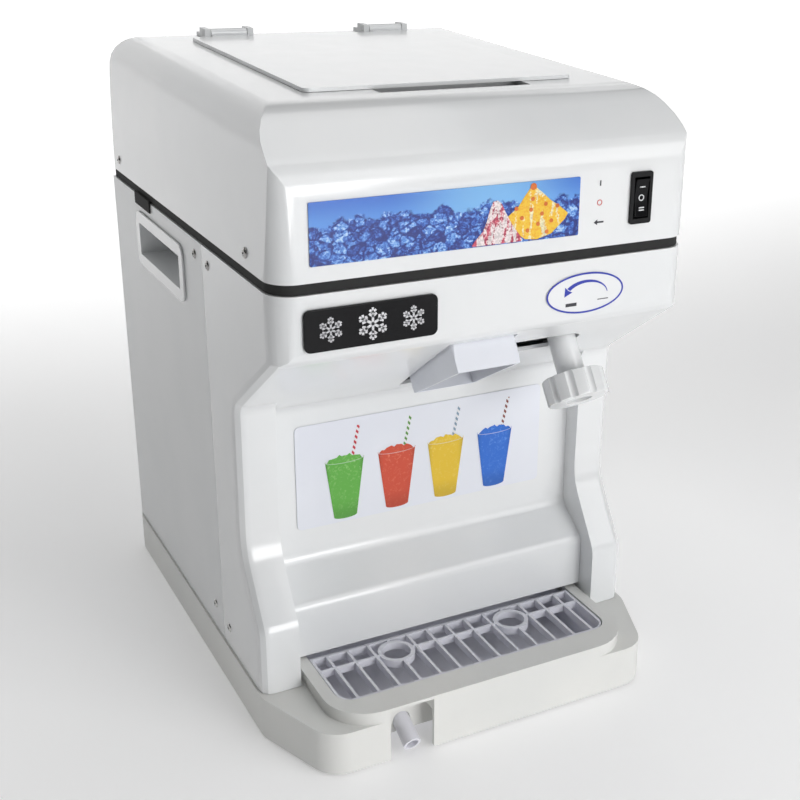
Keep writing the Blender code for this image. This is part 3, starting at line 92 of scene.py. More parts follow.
class Grain(Enum):
    """Surface texture that a finish carries."""

    PEEL = "peel"
    SATIN = "satin"
    BRUSHED = "brushed"
    CAST = "cast"


# ---------------------------------------------------------------- shader maths
class Signal:
    """A socket's value, written as an expression."""

    def __init__(self, bench: "Bench", socket: bpy.types.NodeSocket) -> None:
        """Wrap a socket of a bench's tree."""
        self.bench = bench
        self.socket = socket

    def _maths(self, operation: str, first: Any, second: Any = None) -> "Signal":
        """Add a Math node.

        Args:
            operation: the Math node's operation.
            first: first input, a number or a signal.
            second: second input, where there is one.

        Returns:
            The node's output.
        """
        inputs = {0: first} if second is None else {0: first, 1: second}
        return self.bench.node("ShaderNodeMath", {"operation": operation}, inputs)

    def __add__(self, other: Any) -> "Signal":
        """Sum."""
        return self._maths("ADD", self, other)

    __radd__ = __add__

    def __sub__(self, other: Any) -> "Signal":
        """Difference."""
        return self._maths("SUBTRACT", self, other)

    def __rsub__(self, other: Any) -> "Signal":
        """Reflected difference."""
        return self._maths("SUBTRACT", other, self)

    def __mul__(self, other: Any) -> "Signal":
        """Product."""
        return self._maths("MULTIPLY", self, other)

    __rmul__ = __mul__

    def __truediv__(self, other: Any) -> "Signal":
        """Quotient."""
        return self._maths("DIVIDE", self, other)

    def __rtruediv__(self, other: Any) -> "Signal":
        """Reflected quotient."""
        return self._maths("DIVIDE", other, self)

    def sine(self) -> "Signal":
        """Sine of the value in radians."""
        return self._maths("SINE", self)

    def ramp(self, low: float, high: float, to_low: float = 0.0, to_high: float = 1.0) -> "Signal":
        """Map a range on to another, held at its ends.

        Args:
            low: value that gives to_low.
            high: value that gives to_high.
            to_low: result at the low end.
            to_high: result at the high end.

        Returns:
            The mapped value.
        """
        inputs = {0: self, 1: low, 2: high, 3: to_low, 4: to_high}
        return self.bench.node("ShaderNodeMapRange", {"clamp": True, "interpolation_type": "SMOOTHSTEP"}, inputs)


class Bench:
    """Node tree of one material, with its shader and its coordinates."""

    def __init__(self, name: str) -> None:
        """Make the material and find its shader."""
        self.material = bpy.data.materials.new(name)
        self.material.use_nodes = True
        self.tree = self.material.node_tree
        self.shader = self.tree.nodes["Principled BSDF"]
        self.place = self.node("ShaderNodeTexCoord", {}, {}, "Object")

    def node(self, kind: str, settings: dict[str, Any], inputs: dict[Any, Any],
             output: Union[int, str] = 0) -> Signal:
        """Add any node.

        Args:
            kind: the node's type.
            settings: its properties, set first.
            inputs: a value or a link for each named or numbered socket.
            output: the socket that is returned.

        Returns:
            The output as a signal.
        """
        made = self.tree.nodes.new(kind)
        for key, value in settings.items():
            if key == "stops":
                ramp = made.color_ramp
                while len(ramp.elements) < len(value):
                    ramp.elements.new(0.5)
                for element, (at, colour) in zip(ramp.elements, value):
                    element.position = at
                    element.color = (*colour, 1.0)
            else:
                setattr(made, key, value)
        for key, value in inputs.items():
            socket = made.inputs[key]
            if isinstance(value, Signal):
                self.tree.links.new(value.socket, socket)
            elif isinstance(value, tuple) and len(value) == 3 and socket.type == "RGBA":
                socket.default_value = (*value, 1.0)
            else:
                socket.default_value = value
        return Signal(self, made.outputs[output])

    def mix(self, share: Any, first: Any, second: Any) -> Signal:
        """Blend two colours by a share."""
        return self.node("ShaderNodeMix", {"data_type": "RGBA"}, {0: share, 6: first, 7: second}, 2)

    def stretched(self, scale: Sequence[float]) -> Signal:
        """Object coordinates with their own scale on each axis."""
        return self.node("ShaderNodeMapping", {}, {"Vector": self.place, "Scale": tuple(scale)})

    def noise(self, scale: float, detail: float = 2.0, vector: Optional[Signal] = None) -> Signal:
        """Soft noise, about 0.3 to 0.7."""
        inputs = {"Vector": vector or self.place, "Scale": scale, "Detail": detail}
        return self.node("ShaderNodeTexNoise", {}, inputs, 0)

    def cells(self, scale: float, output: str = "Distance", feature: str = "F1",
              vector: Optional[Signal] = None) -> Signal:
        """Voronoi cells."""
        return self.node("ShaderNodeTexVoronoi", {"feature": feature},
                         {"Vector": vector or self.place, "Scale": scale}, output)

    def axis(self, letter: str) -> Signal:
        """One of the object coordinates, in metres."""
        return self.node("ShaderNodeSeparateXYZ", {}, {0: self.place}, letter)

    def bump(self, height: Signal, depth: float, strength: float = 1.0) -> None:
        """Relief on the shader's normal."""
        made = self.node("ShaderNodeBump", {}, {"Height": height, "Distance": depth, "Strength": strength})
        self.tree.links.new(made.socket, self.shader.inputs["Normal"])

    def dress(self, **sockets: Any) -> bpy.types.Material:
        """Set or link the shader's sockets.

        Args:
            **sockets: socket names with spaces as underscores, each a value or a signal.

        Returns:
            The material.
        """
        for key, value in sockets.items():
            socket = self.shader.inputs[key.replace("_", " ")]
            if isinstance(value, Signal):
                self.tree.links.new(value.socket, socket)
            elif isinstance(value, tuple) and len(value) == 3:
                socket.default_value = (*value, 1.0)
            else:
                socket.default_value = value
        return self.material


# ---------------------------------------------------------------- finishes
@dataclass(frozen=True)
class Finish:
    """A plain material: colour that drifts a little, gloss that varies, a grain and light soiling."""

    name: str
    colour: Colour
    tint: Colour
    roughness: float
    slot: str
    grain: Grain = Grain.PEEL
    grain_scale: float = 420.0
    relief: float = 0.00002
    swing: float = 0.08
    metallic: float = 0.0
    coat: float = 0.0
    soil: float = 0.03
    specular: float = 0.5

    def grain_height(self, bench: Bench) -> Signal:
        """Height of the grain, as noise."""
        if self.grain is Grain.BRUSHED:
            return bench.noise(60.0, 2.0, bench.stretched((1.0, 22.0, 22.0)))
        if self.grain is Grain.CAST:
            return bench.noise(self.grain_scale, 4.0) + bench.cells(self.grain_scale * 1.7) * 0.4
        detail = 1.0 if self.grain is Grain.PEEL else 3.0
        return bench.noise(self.grain_scale, detail)

    def material(self) -> bpy.types.Material:
        """Make the material once."""
        found = bpy.data.materials.get(self.name)
        if found:
            return found
        bench = Bench(self.name)
        drift = bench.noise(9.0, 3.0).ramp(0.35, 0.65)
        colour = bench.mix(drift, self.colour, self.tint)
        specks = bench.cells(520.0).ramp(0.10, 0.03) * bench.noise(23.0).ramp(0.56, 0.70) * self.soil * 4.0
        smudge = bench.noise(31.0, 4.0).ramp(0.50, 0.80) * self.soil
        dark = tuple(channel * 0.45 for channel in self.colour)
        colour = bench.mix(specks + smudge, colour, dark)
        height = self.grain_height(bench)
        gloss = self.roughness + (bench.noise(38.0, 4.0) - 0.5) * self.swing
        if self.grain is Grain.BRUSHED:
            gloss = gloss + (height - 0.5) * 0.25
        bench.bump(height, self.relief)
        return bench.dress(Base_Color=colour, Roughness=gloss, Metallic=self.metallic, Coat_Weight=self.coat,
                           Coat_Roughness=0.08, Specular_IOR_Level=self.specular)


WHITE_GLOSS = Finish("white_gloss_plastic", (0.83, 0.84, 0.845), (0.80, 0.815, 0.825), 0.20, "white_gloss",
                     relief=0.000012, coat=0.35, soil=0.012)
WHITE_PAINT = Finish("white_painted_sheet", (0.80, 0.81, 0.815), (0.77, 0.785, 0.79), 0.32, "white_paint",
                     grain_scale=900.0, relief=0.00001, soil=0.012)
WHITE_MATTE = Finish("off_white_moulding", (0.80, 0.80, 0.775), (0.765, 0.77, 0.75), 0.42, "white_matte",
                     grain=Grain.SATIN, grain_scale=1400.0, relief=0.00001, soil=0.03)
GRILLE_WHITE = Finish("grille_plastic", (0.80, 0.80, 0.86), (0.76, 0.765, 0.83), 0.34, "grille_white",
                      grain=Grain.SATIN, grain_scale=1200.0, relief=0.00001, soil=0.03)
CHUTE_WHITE = Finish("chute_plastic", (0.78, 0.80, 0.86), (0.74, 0.76, 0.83), 0.30, "grille_white",
                     grain_scale=800.0, relief=0.00001, soil=0.015)
RUBBER = Finish("black_rubber", (0.012, 0.012, 0.013), (0.022, 0.022, 0.023), 0.62, "black_rubber",
                grain=Grain.SATIN, grain_scale=1600.0, relief=0.00003, soil=0.0, specular=0.15)
BLACK_GLOSS = Finish("black_gloss_plastic", (0.006, 0.006, 0.007), (0.011, 0.011, 0.012), 0.16, "black_gloss",
                     grain_scale=700.0, relief=0.000006, soil=0.0, specular=0.15)
BLACK_MATTE = Finish("black_satin_plastic", (0.010, 0.010, 0.011), (0.018, 0.018, 0.019), 0.42, "black_matte",
                     grain=Grain.SATIN, grain_scale=1800.0, relief=0.00002, soil=0.0, specular=0.2)
STEEL = Finish("brushed_steel", (0.60, 0.61, 0.62), (0.50, 0.51, 0.53), 0.30, "steel",
               grain=Grain.BRUSHED, relief=0.00001, metallic=1.0, soil=0.05)
SCREW_STEEL = Finish("nickel_screws", (0.62, 0.61, 0.60), (0.36, 0.35, 0.34), 0.22, "steel",
                     grain=Grain.CAST, grain_scale=900.0, relief=0.00001, metallic=1.0, soil=0.2)
ALUMINIUM = Finish("cast_aluminium", (0.66, 0.67, 0.68), (0.58, 0.59, 0.60), 0.42, "aluminium",
                   grain=Grain.CAST, grain_scale=600.0, relief=0.00005, metallic=1.0, soil=0.05)
MOTOR_GREY = Finish("motor_enamel", (0.16, 0.18, 0.20), (0.12, 0.14, 0.16), 0.40, "motor_grey",
                    grain=Grain.CAST, grain_scale=700.0, relief=0.00004, metallic=0.2, soil=0.05)
PRINT_WHITE = Finish("sticker_film", (0.80, 0.82, 0.88), (0.77, 0.79, 0.86), 0.24, "white_print",
                     grain_scale=300.0, relief=0.000008, soil=0.008)
DIAL_WHITE = Finish("dial_film", (0.85, 0.86, 0.87), (0.83, 0.84, 0.86), 0.24, "white_print",
                    grain_scale=300.0, relief=0.000008, soil=0.0)
INK_BLUE = Finish("blue_ink", (0.022, 0.040, 0.42), (0.030, 0.055, 0.46), 0.30, "blue_print", soil=0.0)
INK_DARK = Finish("dark_ink", (0.035, 0.035, 0.045), (0.050, 0.050, 0.060), 0.35, "black_matte", soil=0.0)
INK_RED = Finish("red_ink", (0.62, 0.09, 0.07), (0.70, 0.13, 0.10), 0.35, "white_print", soil=0.0)
INK_WHITE = Finish("white_ink", (0.72, 0.73, 0.74), (0.62, 0.63, 0.64), 0.35, "white_print", soil=0.0)
INK_SILVER = Finish("silver_ink", (0.62, 0.62, 0.64), (0.42, 0.42, 0.44), 0.28, "steel",
                    grain=Grain.BRUSHED, relief=0.000004, metallic=0.6, soil=0.0)


@dataclass(frozen=True)
class IcePrint:
    """Printed film of crushed blue ice under a blue sky, between two corners of a plate."""

    low: Vector
    high: Vector
    slot: str = "blue_print"

    def material(self) -> bpy.types.Material:
        """Make the material."""
        bench = Bench("ice_banner_film")
        across = (bench.axis("X") - self.low.x) / (self.high.x - self.low.x)
        up = (bench.axis("Z") - self.low.z) / (self.high.z - self.low.z)
        glow = across.ramp(0.25, 0.62) * across.ramp(1.05, 0.70)
        sky = bench.mix(up.ramp(0.60, 1.0), (0.10, 0.30, 0.76), (0.045, 0.17, 0.62))
        sky = bench.mix(glow * 0.75, sky, (0.24, 0.55, 0.88))
        flat = bench.stretched((1.0, 0.02, 1.25))
        swirl = bench.node("ShaderNodeTexNoise", {}, {"Vector": flat, "Scale": 160.0, "Detail": 3.0}, 1)
        shift = bench.node("ShaderNodeVectorMath", {"operation": "SCALE"}, {0: swirl, "Scale": 0.006})
        warped = bench.node("ShaderNodeVectorMath", {"operation": "ADD"}, {0: flat, 1: shift})
        lumps = bench.cells(128.0, "Color", "F1", warped)
        facets = bench.cells(400.0, "Color", "F1", warped)
        edge = bench.cells(128.0, "Distance", "DISTANCE_TO_EDGE", warped)
        crumbs = bench.noise(700.0, 5.0, flat)
        tone = (bench.node("ShaderNodeRGBToBW", {}, {0: lumps}) * 0.34
                + bench.node("ShaderNodeRGBToBW", {}, {0: facets}) * 0.42 + (crumbs - 0.5) * 0.75
                + edge.ramp(0.0, 0.16, -0.20, 0.06))
        stops = [(0.0, (0.008, 0.022, 0.20)), (0.28, (0.025, 0.09, 0.44)), (0.52, (0.060, 0.19, 0.62)),
                 (0.76, (0.15, 0.36, 0.78)), (1.0, (0.50, 0.70, 0.92))]
        ice = bench.node("ShaderNodeValToRGB", {"stops": stops}, {0: tone.ramp(0.12, 0.80)})
        shore = 0.70 + (bench.noise(75.0, 3.0, flat) - 0.5) * 0.55 - across.ramp(0.30, 0.0) * 0.06
        colour = bench.mix((up - shore).ramp(-0.035, 0.02), ice, sky)
        return bench.dress(Base_Color=colour, Roughness=0.22, Coat_Weight=0.2)


@dataclass(frozen=True)
class DrinkPrint:
    """Printed slush drink: bright, icy, darker low down and at its sides."""

    name: str
    colour: Colour
    light: Colour
    centre_x: float
    low: float
    high: float
    half_width: float
    slot: str = "white_print"

    def material(self) -> bpy.types.Material:
        """Make the material."""
        bench = Bench(self.name)
        flat = bench.stretched((1.0, 0.02, 1.0))
        up = (bench.axis("Z") - self.low) / (self.high - self.low)
        side = (bench.axis("X") - self.centre_x) / self.half_width
        edge = (side * side).ramp(0.45, 1.05)
        tone = bench.node("ShaderNodeRGBToBW", {}, {0: bench.cells(420.0, "Color", "F1", flat)})
        glint = ((tone - 0.5) * 0.5 + (bench.noise(620.0, 4.0, flat) - 0.5) * 0.9).ramp(0.0, 0.42)
        colour = bench.mix(glint * (0.30 + up.ramp(0.55, 1.0) * 0.35), self.colour, self.light)
        dark = tuple(channel * 0.42 for channel in self.colour)
        colour = bench.mix(edge * 0.55 + up.ramp(0.32, 0.0) * 0.35, colour, dark)
        return bench.dress(Base_Color=colour, Roughness=0.24)


@dataclass(frozen=True)
class StripePrint:
    """Printed straw with slanting stripes."""

    name: str
    colour: Colour
    lean: float
    pitch: float = 0.0052
    slot: str = "white_print"

    def material(self) -> bpy.types.Material:
        """Make the material."""
        bench = Bench(self.name)
        along = bench.axis("Z") + bench.axis("X") * (0.9 + self.lean)
        stripe = (along * (2 * math.pi / self.pitch)).sine().ramp(-0.25, 0.25)
        colour = bench.mix(stripe, (0.78, 0.78, 0.80), self.colour)
        return bench.dress(Base_Color=colour, Roughness=0.3)


@dataclass(frozen=True)
class SyrupPrint:
    """Printed mound of shaved ice with syrup running down it."""

    name: str
    ice: Colour
    syrup: Colour
    deep: Colour
    cover: float
    slot: str = "white_print"

    def material(self) -> bpy.types.Material:
        """Make the material."""
        bench = Bench(self.name)
        runs = bench.noise(230.0, 3.0, bench.stretched((1.0, 0.02, 0.30)))
        crumbs = bench.noise(900.0, 4.0, bench.stretched((1.0, 0.02, 1.0)))
        wet = (runs + (crumbs - 0.5) * 0.35).ramp(self.cover - 0.045, self.cover + 0.045)
        syrup = bench.mix(crumbs.ramp(0.45, 0.65), self.syrup, self.deep)
        ice = bench.mix(crumbs.ramp(0.40, 0.62), self.ice, tuple(c * 0.72 for c in self.ice))
        return bench.dress(Base_Color=bench.mix(wet, ice, syrup), Roughness=0.28)


# ---------------------------------------------------------------- mesh work
def placed(name: str, shape: bmesh.types.BMesh) -> bpy.types.Object:
    """Put a shape in the scene as an object at the origin, and free it."""
    mesh = bpy.data.meshes.new(name)
    shape.to_mesh(mesh)
    shape.free()
    item = bpy.data.objects.new(name, mesh)
    bpy.context.scene.collection.objects.link(item)
    return item


def rounded(corners: Iterable[Sequence[float]], step: float = math.radians(5.0)) -> list[Vector]:
    """Points of a closed outline.

    Args:
        corners: (a, b) or (a, b, radius); a radius gives the corner an arc.
        step: largest turn between two points of an arc.

    Returns:
        The outline's points.
    """
    corners = list(corners)
    points: list[Vector] = []
    for index, corner in enumerate(corners):
        here = Vector(corner[:2])
        radius = corner[2] if len(corner) > 2 else 0.0
        if radius <= 0.0:
            points.append(here)
            continue
        before = (Vector(corners[index - 1][:2]) - here).normalized()
        after = (Vector(corners[(index + 1) % len(corners)][:2]) - here).normalized()
        half = before.angle(after) / 2
        centre = here + (before + after).normalized() * radius / math.sin(half)
        first = here + before * radius / math.tan(half) - centre
        swing = first.angle_signed(here + after * radius / math.tan(half) - centre)
        pieces = max(2, math.ceil(abs(swing) / step))
        for piece in range(pieces + 1):
            points.append(centre + Matrix.Rotation(-swing * piece / pieces, 2) @ first)
    return points


def oblong(a: float, b: float, width: float, height: float) -> list[Point]:
    """Corners of an upright oblong about a point."""
    return [(a + i * width / 2, b + j * height / 2) for i, j in ((-1, -1), (1, -1), (1, 1), (-1, 1))]


def slab(points: Sequence[Sequence[float]], near: float, far: float, axis: str = "y") -> bmesh.types.BMesh:
    """A flat outline made thick.

    Args:
        points: outline as (x, z) for axis y, (y, z) for x or (x, y) for z.
        near: where the slab starts along the axis.
        far: where it ends.
        axis: direction of the thickness.

    Returns:
        A closed shape.
    """
    lift = {"x": lambda a, b: (near, a, b), "y": lambda a, b: (a, near, b), "z": lambda a, b: (a, b, near)}[axis]
    shape = bmesh.new()
    face = shape.faces.new([shape.verts.new(lift(point[0], point[1])) for point in points])
    grown = bmesh.ops.extrude_face_region(shape, geom=[face])["geom"]
    away = {"x": (far - near, 0, 0), "y": (0, far - near, 0), "z": (0, 0, far - near)}[axis]
    bmesh.ops.translate(shape, vec=away, verts=[v for v in grown if isinstance(v, bmesh.types.BMVert)])
    bmesh.ops.recalc_face_normals(shape, faces=shape.faces)
    return shape


def ring(centre: Point, outer: Point, width: float, near: float, far: float, sides: int = 64) -> bmesh.types.BMesh:
    """An oval band standing in the XZ plane.

    Args:
        centre: middle as (x, z).
        outer: outer half sizes.
        width: width of the band.
        near: y of one face.
        far: y of the other face.
        sides: number of sides.

    Returns:
        A closed shape.
    """
    shape = bmesh.new()
    edges = []
    for inward in (0.0, width):
        loop = bmesh.ops.create_circle(shape, segments=sides, radius=1.0)["verts"]
        for vert in loop:
            vert.co = (centre[0] + vert.co.x * (outer[0] - inward), near, centre[1] + vert.co.y * (outer[1] - inward))
        edges += list({edge for vert in loop for edge in vert.link_edges})
    bmesh.ops.bridge_loops(shape, edges=edges)
    grown = bmesh.ops.extrude_face_region(shape, geom=shape.faces[:])["geom"]
    bmesh.ops.translate(shape, vec=(0, far - near, 0), verts=[v for v in grown if isinstance(v, bmesh.types.BMVert)])
    bmesh.ops.recalc_face_normals(shape, faces=shape.faces)
    return shape


def gather(shapes: Iterable[bmesh.types.BMesh]) -> bmesh.types.BMesh:
    """Put several shapes into one and free them."""
    whole = bmesh.new()
    for shape in shapes:
        mesh = bpy.data.meshes.new("gathered")
        shape.to_mesh(mesh)
        shape.free()
        whole.from_mesh(mesh)
        bpy.data.meshes.remove(mesh)
    return whole


def soften(shape: bmesh.types.BMesh, width: float, segments: int = 2, angle: float = 35.0,
           clamp: bool = True) -> bmesh.types.BMesh:
    """Round every edge that is sharper than an angle."""
    limit = math.radians(angle)
    edges = [edge for edge in shape.edges if len(edge.link_faces) == 2 and edge.calc_face_angle() > limit]
    if width > 0.0 and edges:
        bmesh.ops.bevel(shape, geom=edges, offset=width, offset_type="OFFSET", segments=segments, profile=0.5,
                        affect="EDGES", clamp_overlap=clamp, material=-1, loop_slide=True)
    return shape


def publish(name: str, shape: bmesh.types.BMesh, finish: Any, body: Body, stands_for: Sequence[str] = (),
            sharp: float = 40.0) -> bpy.types.Object:
    """Turn a shape into a piece of the machine.

    Args:
        name: the piece's name.
        shape: its mesh, which is freed.
        finish: a finish with a material and a slot.
        body: the body that it moves with.
        stands_for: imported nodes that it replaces.
        sharp: angle past which an edge stays sharp.

    Returns:
        The new object.
    """
    item = placed(name, shape)
    mesh = item.data
    mesh.materials.append(finish.material())
    mesh.shade_smooth()
    mesh.set_sharp_from_angle(angle=math.radians(sharp))
    weighted = item.modifiers.new("flat_faces", "WEIGHTED_NORMAL")
    weighted.keep_sharp = True
    weighted.weight = 50
    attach(item, body.value)
    if stands_for:
        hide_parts(*stands_for)
    LOG.info("built %s: %d faces", name, len(mesh.polygons))
    return item


@dataclass
class Refiner:
    """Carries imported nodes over: merges them, rounds their edges and dresses them."""

    nodes: dict[str, bpy.types.Object]

    def copy(self, node: str) -> bmesh.types.BMesh:
        """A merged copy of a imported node's mesh."""
        shape = bmesh.new()
        shape.from_mesh(self.nodes[node].data)
        bmesh.ops.remove_doubles(shape, verts=shape.verts, dist=2e-6)
        bmesh.ops.dissolve_limit(shape, angle_limit=math.radians(0.4), use_dissolve_boundaries=False,
                                 verts=shape.verts, edges=shape.edges)
        return shape

    def carry(self, node: str, finish: Finish, body: Body, width: float = 0.0004, segments: int = 2,
              angle: float = 35.0) -> bpy.types.Object:
        """Dress one node's rounded copy.

        Args:
            node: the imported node.
            finish: its finish.
            body: the body that it moves with.
            width: width of the rounded edges.
            segments: steps across a rounded edge.
            angle: edges sharper than this are rounded.

        Returns:
            The piece.
        """
        shape = soften(self.copy(node), width, segments, angle)
        return publish(f"{node}_finished", shape, finish, body, (node,))


def cut_with(item: bpy.types.Object, cutters: Sequence[bmesh.types.BMesh]) -> None:
    """Apply exact cuts to a piece and drop the cutters."""
    for index, shape in enumerate(cutters):
        tool = placed(f"{item.name}_cutter_{index}", shape)
        made = item.modifiers.new("cut", "BOOLEAN")
        made.operation = "DIFFERENCE"
        made.solver = "EXACT"
        made.object = tool
        bpy.context.view_layer.update()
        result = bpy.data.meshes.new_from_object(item.evaluated_get(bpy.context.evaluated_depsgraph_get()))
        item.modifiers.remove(made)
        item.data = result
        bpy.data.objects.remove(tool)


def settled(name: str, shape: bmesh.types.BMesh, cutters: Sequence[bmesh.types.BMesh]) -> bmesh.types.BMesh:
    """A shape after exact cuts, as a new mesh."""
    item = placed(name, shape)
    cut_with(item, cutters)
    done = bmesh.new()
    done.from_mesh(item.data)
    bpy.data.objects.remove(item)
    bmesh.ops.remove_doubles(done, verts=done.verts, dist=1e-6)
    return done


# ---------------------------------------------------------------- sub-assemblies
@dataclass
class Base:
    """Moulded base with its feet, drip pan, spout and grille."""

    refiner: Refiner
    edge: float = 0.0016

    def build(self) -> None:
        """Dress the base's pieces."""
        self.refiner.carry("base", WHITE_MATTE, Body.MACHINE, self.edge, 3)
        for end in ("front", "rear"):
            for side in ("left", "right"):
                self.refiner.carry(f"foot_{end}_{side}", RUBBER, Body.MACHINE, 0.0012, 3)
        self.refiner.carry("drip_pan", GRILLE_WHITE, Body.MACHINE, 0.0005)
        self.refiner.carry("drain_spout", GRILLE_WHITE, Body.MACHINE, 0.0004)
        self.refiner.carry("drip_grille", GRILLE_WHITE, Body.GRILLE, 0.0004)


@dataclass
class Cabinet:
    """Front housing, side sheets, rear panel, handles, gasket, inlet and screws."""

    refiner: Refiner
    head_y: float
    half_width: float
    screw_radius: float = 0.0037
    screw_rise: float = 0.0014
    screw_seat: float = 0.0002
    recess: tuple[float, float, float] = (0.0042, 0.0009, 0.0018)
    recess_turn: float = 0.3
    screw_places: tuple[Point, ...] = ((0.3675, 0.3772), (0.0484, 0.3772), (0.1620, 0.3480), (0.1317, 0.3470),
                                       (0.1637, 0.0590), (0.1306, 0.0545))

    def screw(self, side: int, depth: float, z: float) -> bmesh.types.BMesh:
        """A domed screw head with a cross recess, on a side wall."""
        shape = bmesh.new()
        radius, rise = self.screw_radius, self.screw_rise
        steps = 6
        rim = [shape.verts.new((radius * math.cos(a), 0.0, rise * math.sin(a)))
               for a in (math.pi / 2 * index / steps for index in range(steps + 1))]
        rim.append(shape.verts.new((0.0, 0.0, -self.screw_seat)))
        rim.insert(0, shape.verts.new((radius, 0.0, -self.screw_seat)))
        edges = [shape.edges.new((a, b)) for a, b in zip(rim, rim[1:])]
        bmesh.ops.spin(shape, geom=rim + edges, axis=(0, 0, 1), cent=(0, 0, 0), angle=2 * math.pi, steps=28,
                       use_merge=True, use_duplicate=False)
        bmesh.ops.remove_doubles(shape, verts=shape.verts, dist=1e-6)
        bmesh.ops.recalc_face_normals(shape, faces=shape.faces)
        blades = []
        for turn in (self.recess_turn, self.recess_turn + math.pi / 2):
            blade = bmesh.new()
            bmesh.ops.create_cube(blade, size=1.0, matrix=Matrix.Rotation(turn, 4, "Z")
                                  @ Matrix.Translation((0, 0, rise)) @ Matrix.Diagonal((*self.recess, 1)))
            blades.append(blade)
        shape = settled("screw_blank", shape, blades)
        frame = Matrix.Translation((side * self.half_width, self.head_y + depth, z))
        bmesh.ops.transform(shape, matrix=frame @ Matrix.Rotation(side * math.pi / 2, 4, "Y"), verts=shape.verts)
        return shape

    def build(self) -> None:
        """Dress the cabinet's pieces and fit the screws."""
        carry = self.refiner.carry
        carry("front_housing", WHITE_GLOSS, Body.MACHINE, 0.0015, 3, 28.0)
        for side in ("left", "right"):
            carry(f"side_panel_{side}", WHITE_PAINT, Body.MACHINE, 0.0003)
            carry(f"handle_{side}", WHITE_GLOSS, Body.MACHINE, 0.0007, 3)
        carry("rear_panel", WHITE_PAINT, Body.MACHINE, 0.0003)
        carry("mains_gland", BLACK_MATTE, Body.MACHINE, 0.0006)
        carry("hood_gasket", RUBBER, Body.MACHINE, 0.0006)
        for side, word in ((-1, "left"), (1, "right")):
            screws = [self.screw(side, depth, z) for depth, z in self.screw_places]
            publish(f"screws_{word}", gather(screws), SCREW_STEEL, Body.MACHINE)


@dataclass
class Hood:
    """Hood, lid with its hinges, safety switch and rocker switch."""

    refiner: Refiner
    mark_spread: float = 0.0078
    mark_bar: tuple[float, float] = (0.0044, 0.0008)
    bar_gap: float = 0.0009
    mark_face: float = 0.00062
    mark_ring: float = 0.0023
    ring_width: float = 0.0007

    def build(self) -> None:
        """Dress the hood's pieces."""
        carry = self.refiner.carry
        carry("hood", WHITE_GLOSS, Body.MACHINE, 0.0012, 3, 28.0)
        carry("lid", WHITE_GLOSS, Body.LID, 0.0009, 3)
        for side in ("left", "right"):
            carry(f"hinge_bracket_{side}", WHITE_PAINT, Body.MACHINE)
            carry(f"hinge_pin_{side}", WHITE_PAINT, Body.MACHINE, 0.0003)
        carry("interlock_switch", BLACK_MATTE, Body.MACHINE)
        carry("interlock_plunger", STEEL, Body.PLUNGER, 0.0002)
        carry("switch_bezel", BLACK_MATTE, Body.MACHINE, 0.0006, 3)
        carry("switch_rocker", BLACK_GLOSS, Body.ROCKER, 0.0006, 3)
        self.marks()

    def marks(self) -> None:
        """White bar, ring and double bar on the rocker."""
        low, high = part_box("switch_rocker")
        x, z = (low.x + high.x) / 2, (low.z + high.z) / 2
        front = low.y
        up, lip, gap = self.mark_spread, self.mark_face, self.bar_gap
        shapes = [*(slab(oblong(x, z + lift, *self.mark_bar), front + lip - 0.0003, front + lip + 0.0004)
                    for lift in (up, gap - up, -gap - up)),
                  ring((x, z), (self.mark_ring, self.mark_ring), self.ring_width, front + 0.0012, front + 0.0020, 32)]
        publish("rocker_marks", gather(shapes), INK_WHITE, Body.ROCKER)


@dataclass
class IcePath:
    """Hopper, drum, rotor, cutter, chute and adjuster."""

    refiner: Refiner

    def build(self) -> None:
        """Dress the pieces that the ice and the hand reach."""
        carry = self.refiner.carry
        carry("hopper", STEEL, Body.MACHINE, 0.0003)
        carry("cutting_drum", ALUMINIUM, Body.MACHINE, 0.0005)
        carry("rotor", ALUMINIUM, Body.ROTOR, 0.0005)
        carry("rotor_shaft", STEEL, Body.ROTOR, 0.0004)
        for node in ("blade", "blade_screw_1", "blade_screw_2"):
            carry(node, STEEL, Body.CUTTER, 0.0001)
        carry("blade_carrier", ALUMINIUM, Body.CUTTER, 0.0003)
        carry("chute", CHUTE_WHITE, Body.MACHINE, 0.0005)
        carry("adjuster_knob", WHITE_GLOSS, Body.ADJUSTER, 0.0009, 3)
        carry("adjuster_screw", STEEL, Body.ADJUSTER, 0.0003)


@dataclass
class Drive:
    """Frame, bearings, pulleys, belt and motor."""

    refiner: Refiner

    def build(self) -> None:
        """Dress the drive's pieces."""
        carry = self.refiner.carry
        for node in ("frame_plate", "frame_rail_left", "frame_rail_right", "motor_plate", "shaft_bearing_1",
                     "shaft_bearing_2"):
            carry(node, STEEL, Body.MACHINE, 0.0003)
        carry("bearing_housing", ALUMINIUM, Body.MACHINE, 0.0005)
        carry("driven_pulley", ALUMINIUM, Body.ROTOR, 0.0003)
        carry("motor_pulley", STEEL, Body.MOTOR, 0.0003)
        carry("motor_shaft", STEEL, Body.MOTOR, 0.0003)
        carry("drive_belt", RUBBER, Body.MACHINE, 0.0004)
        carry("motor", MOTOR_GREY, Body.MACHINE, 0.0020, 3)
        carry("motor_capacitor", BLACK_MATTE, Body.MACHINE, 0.0015, 3)


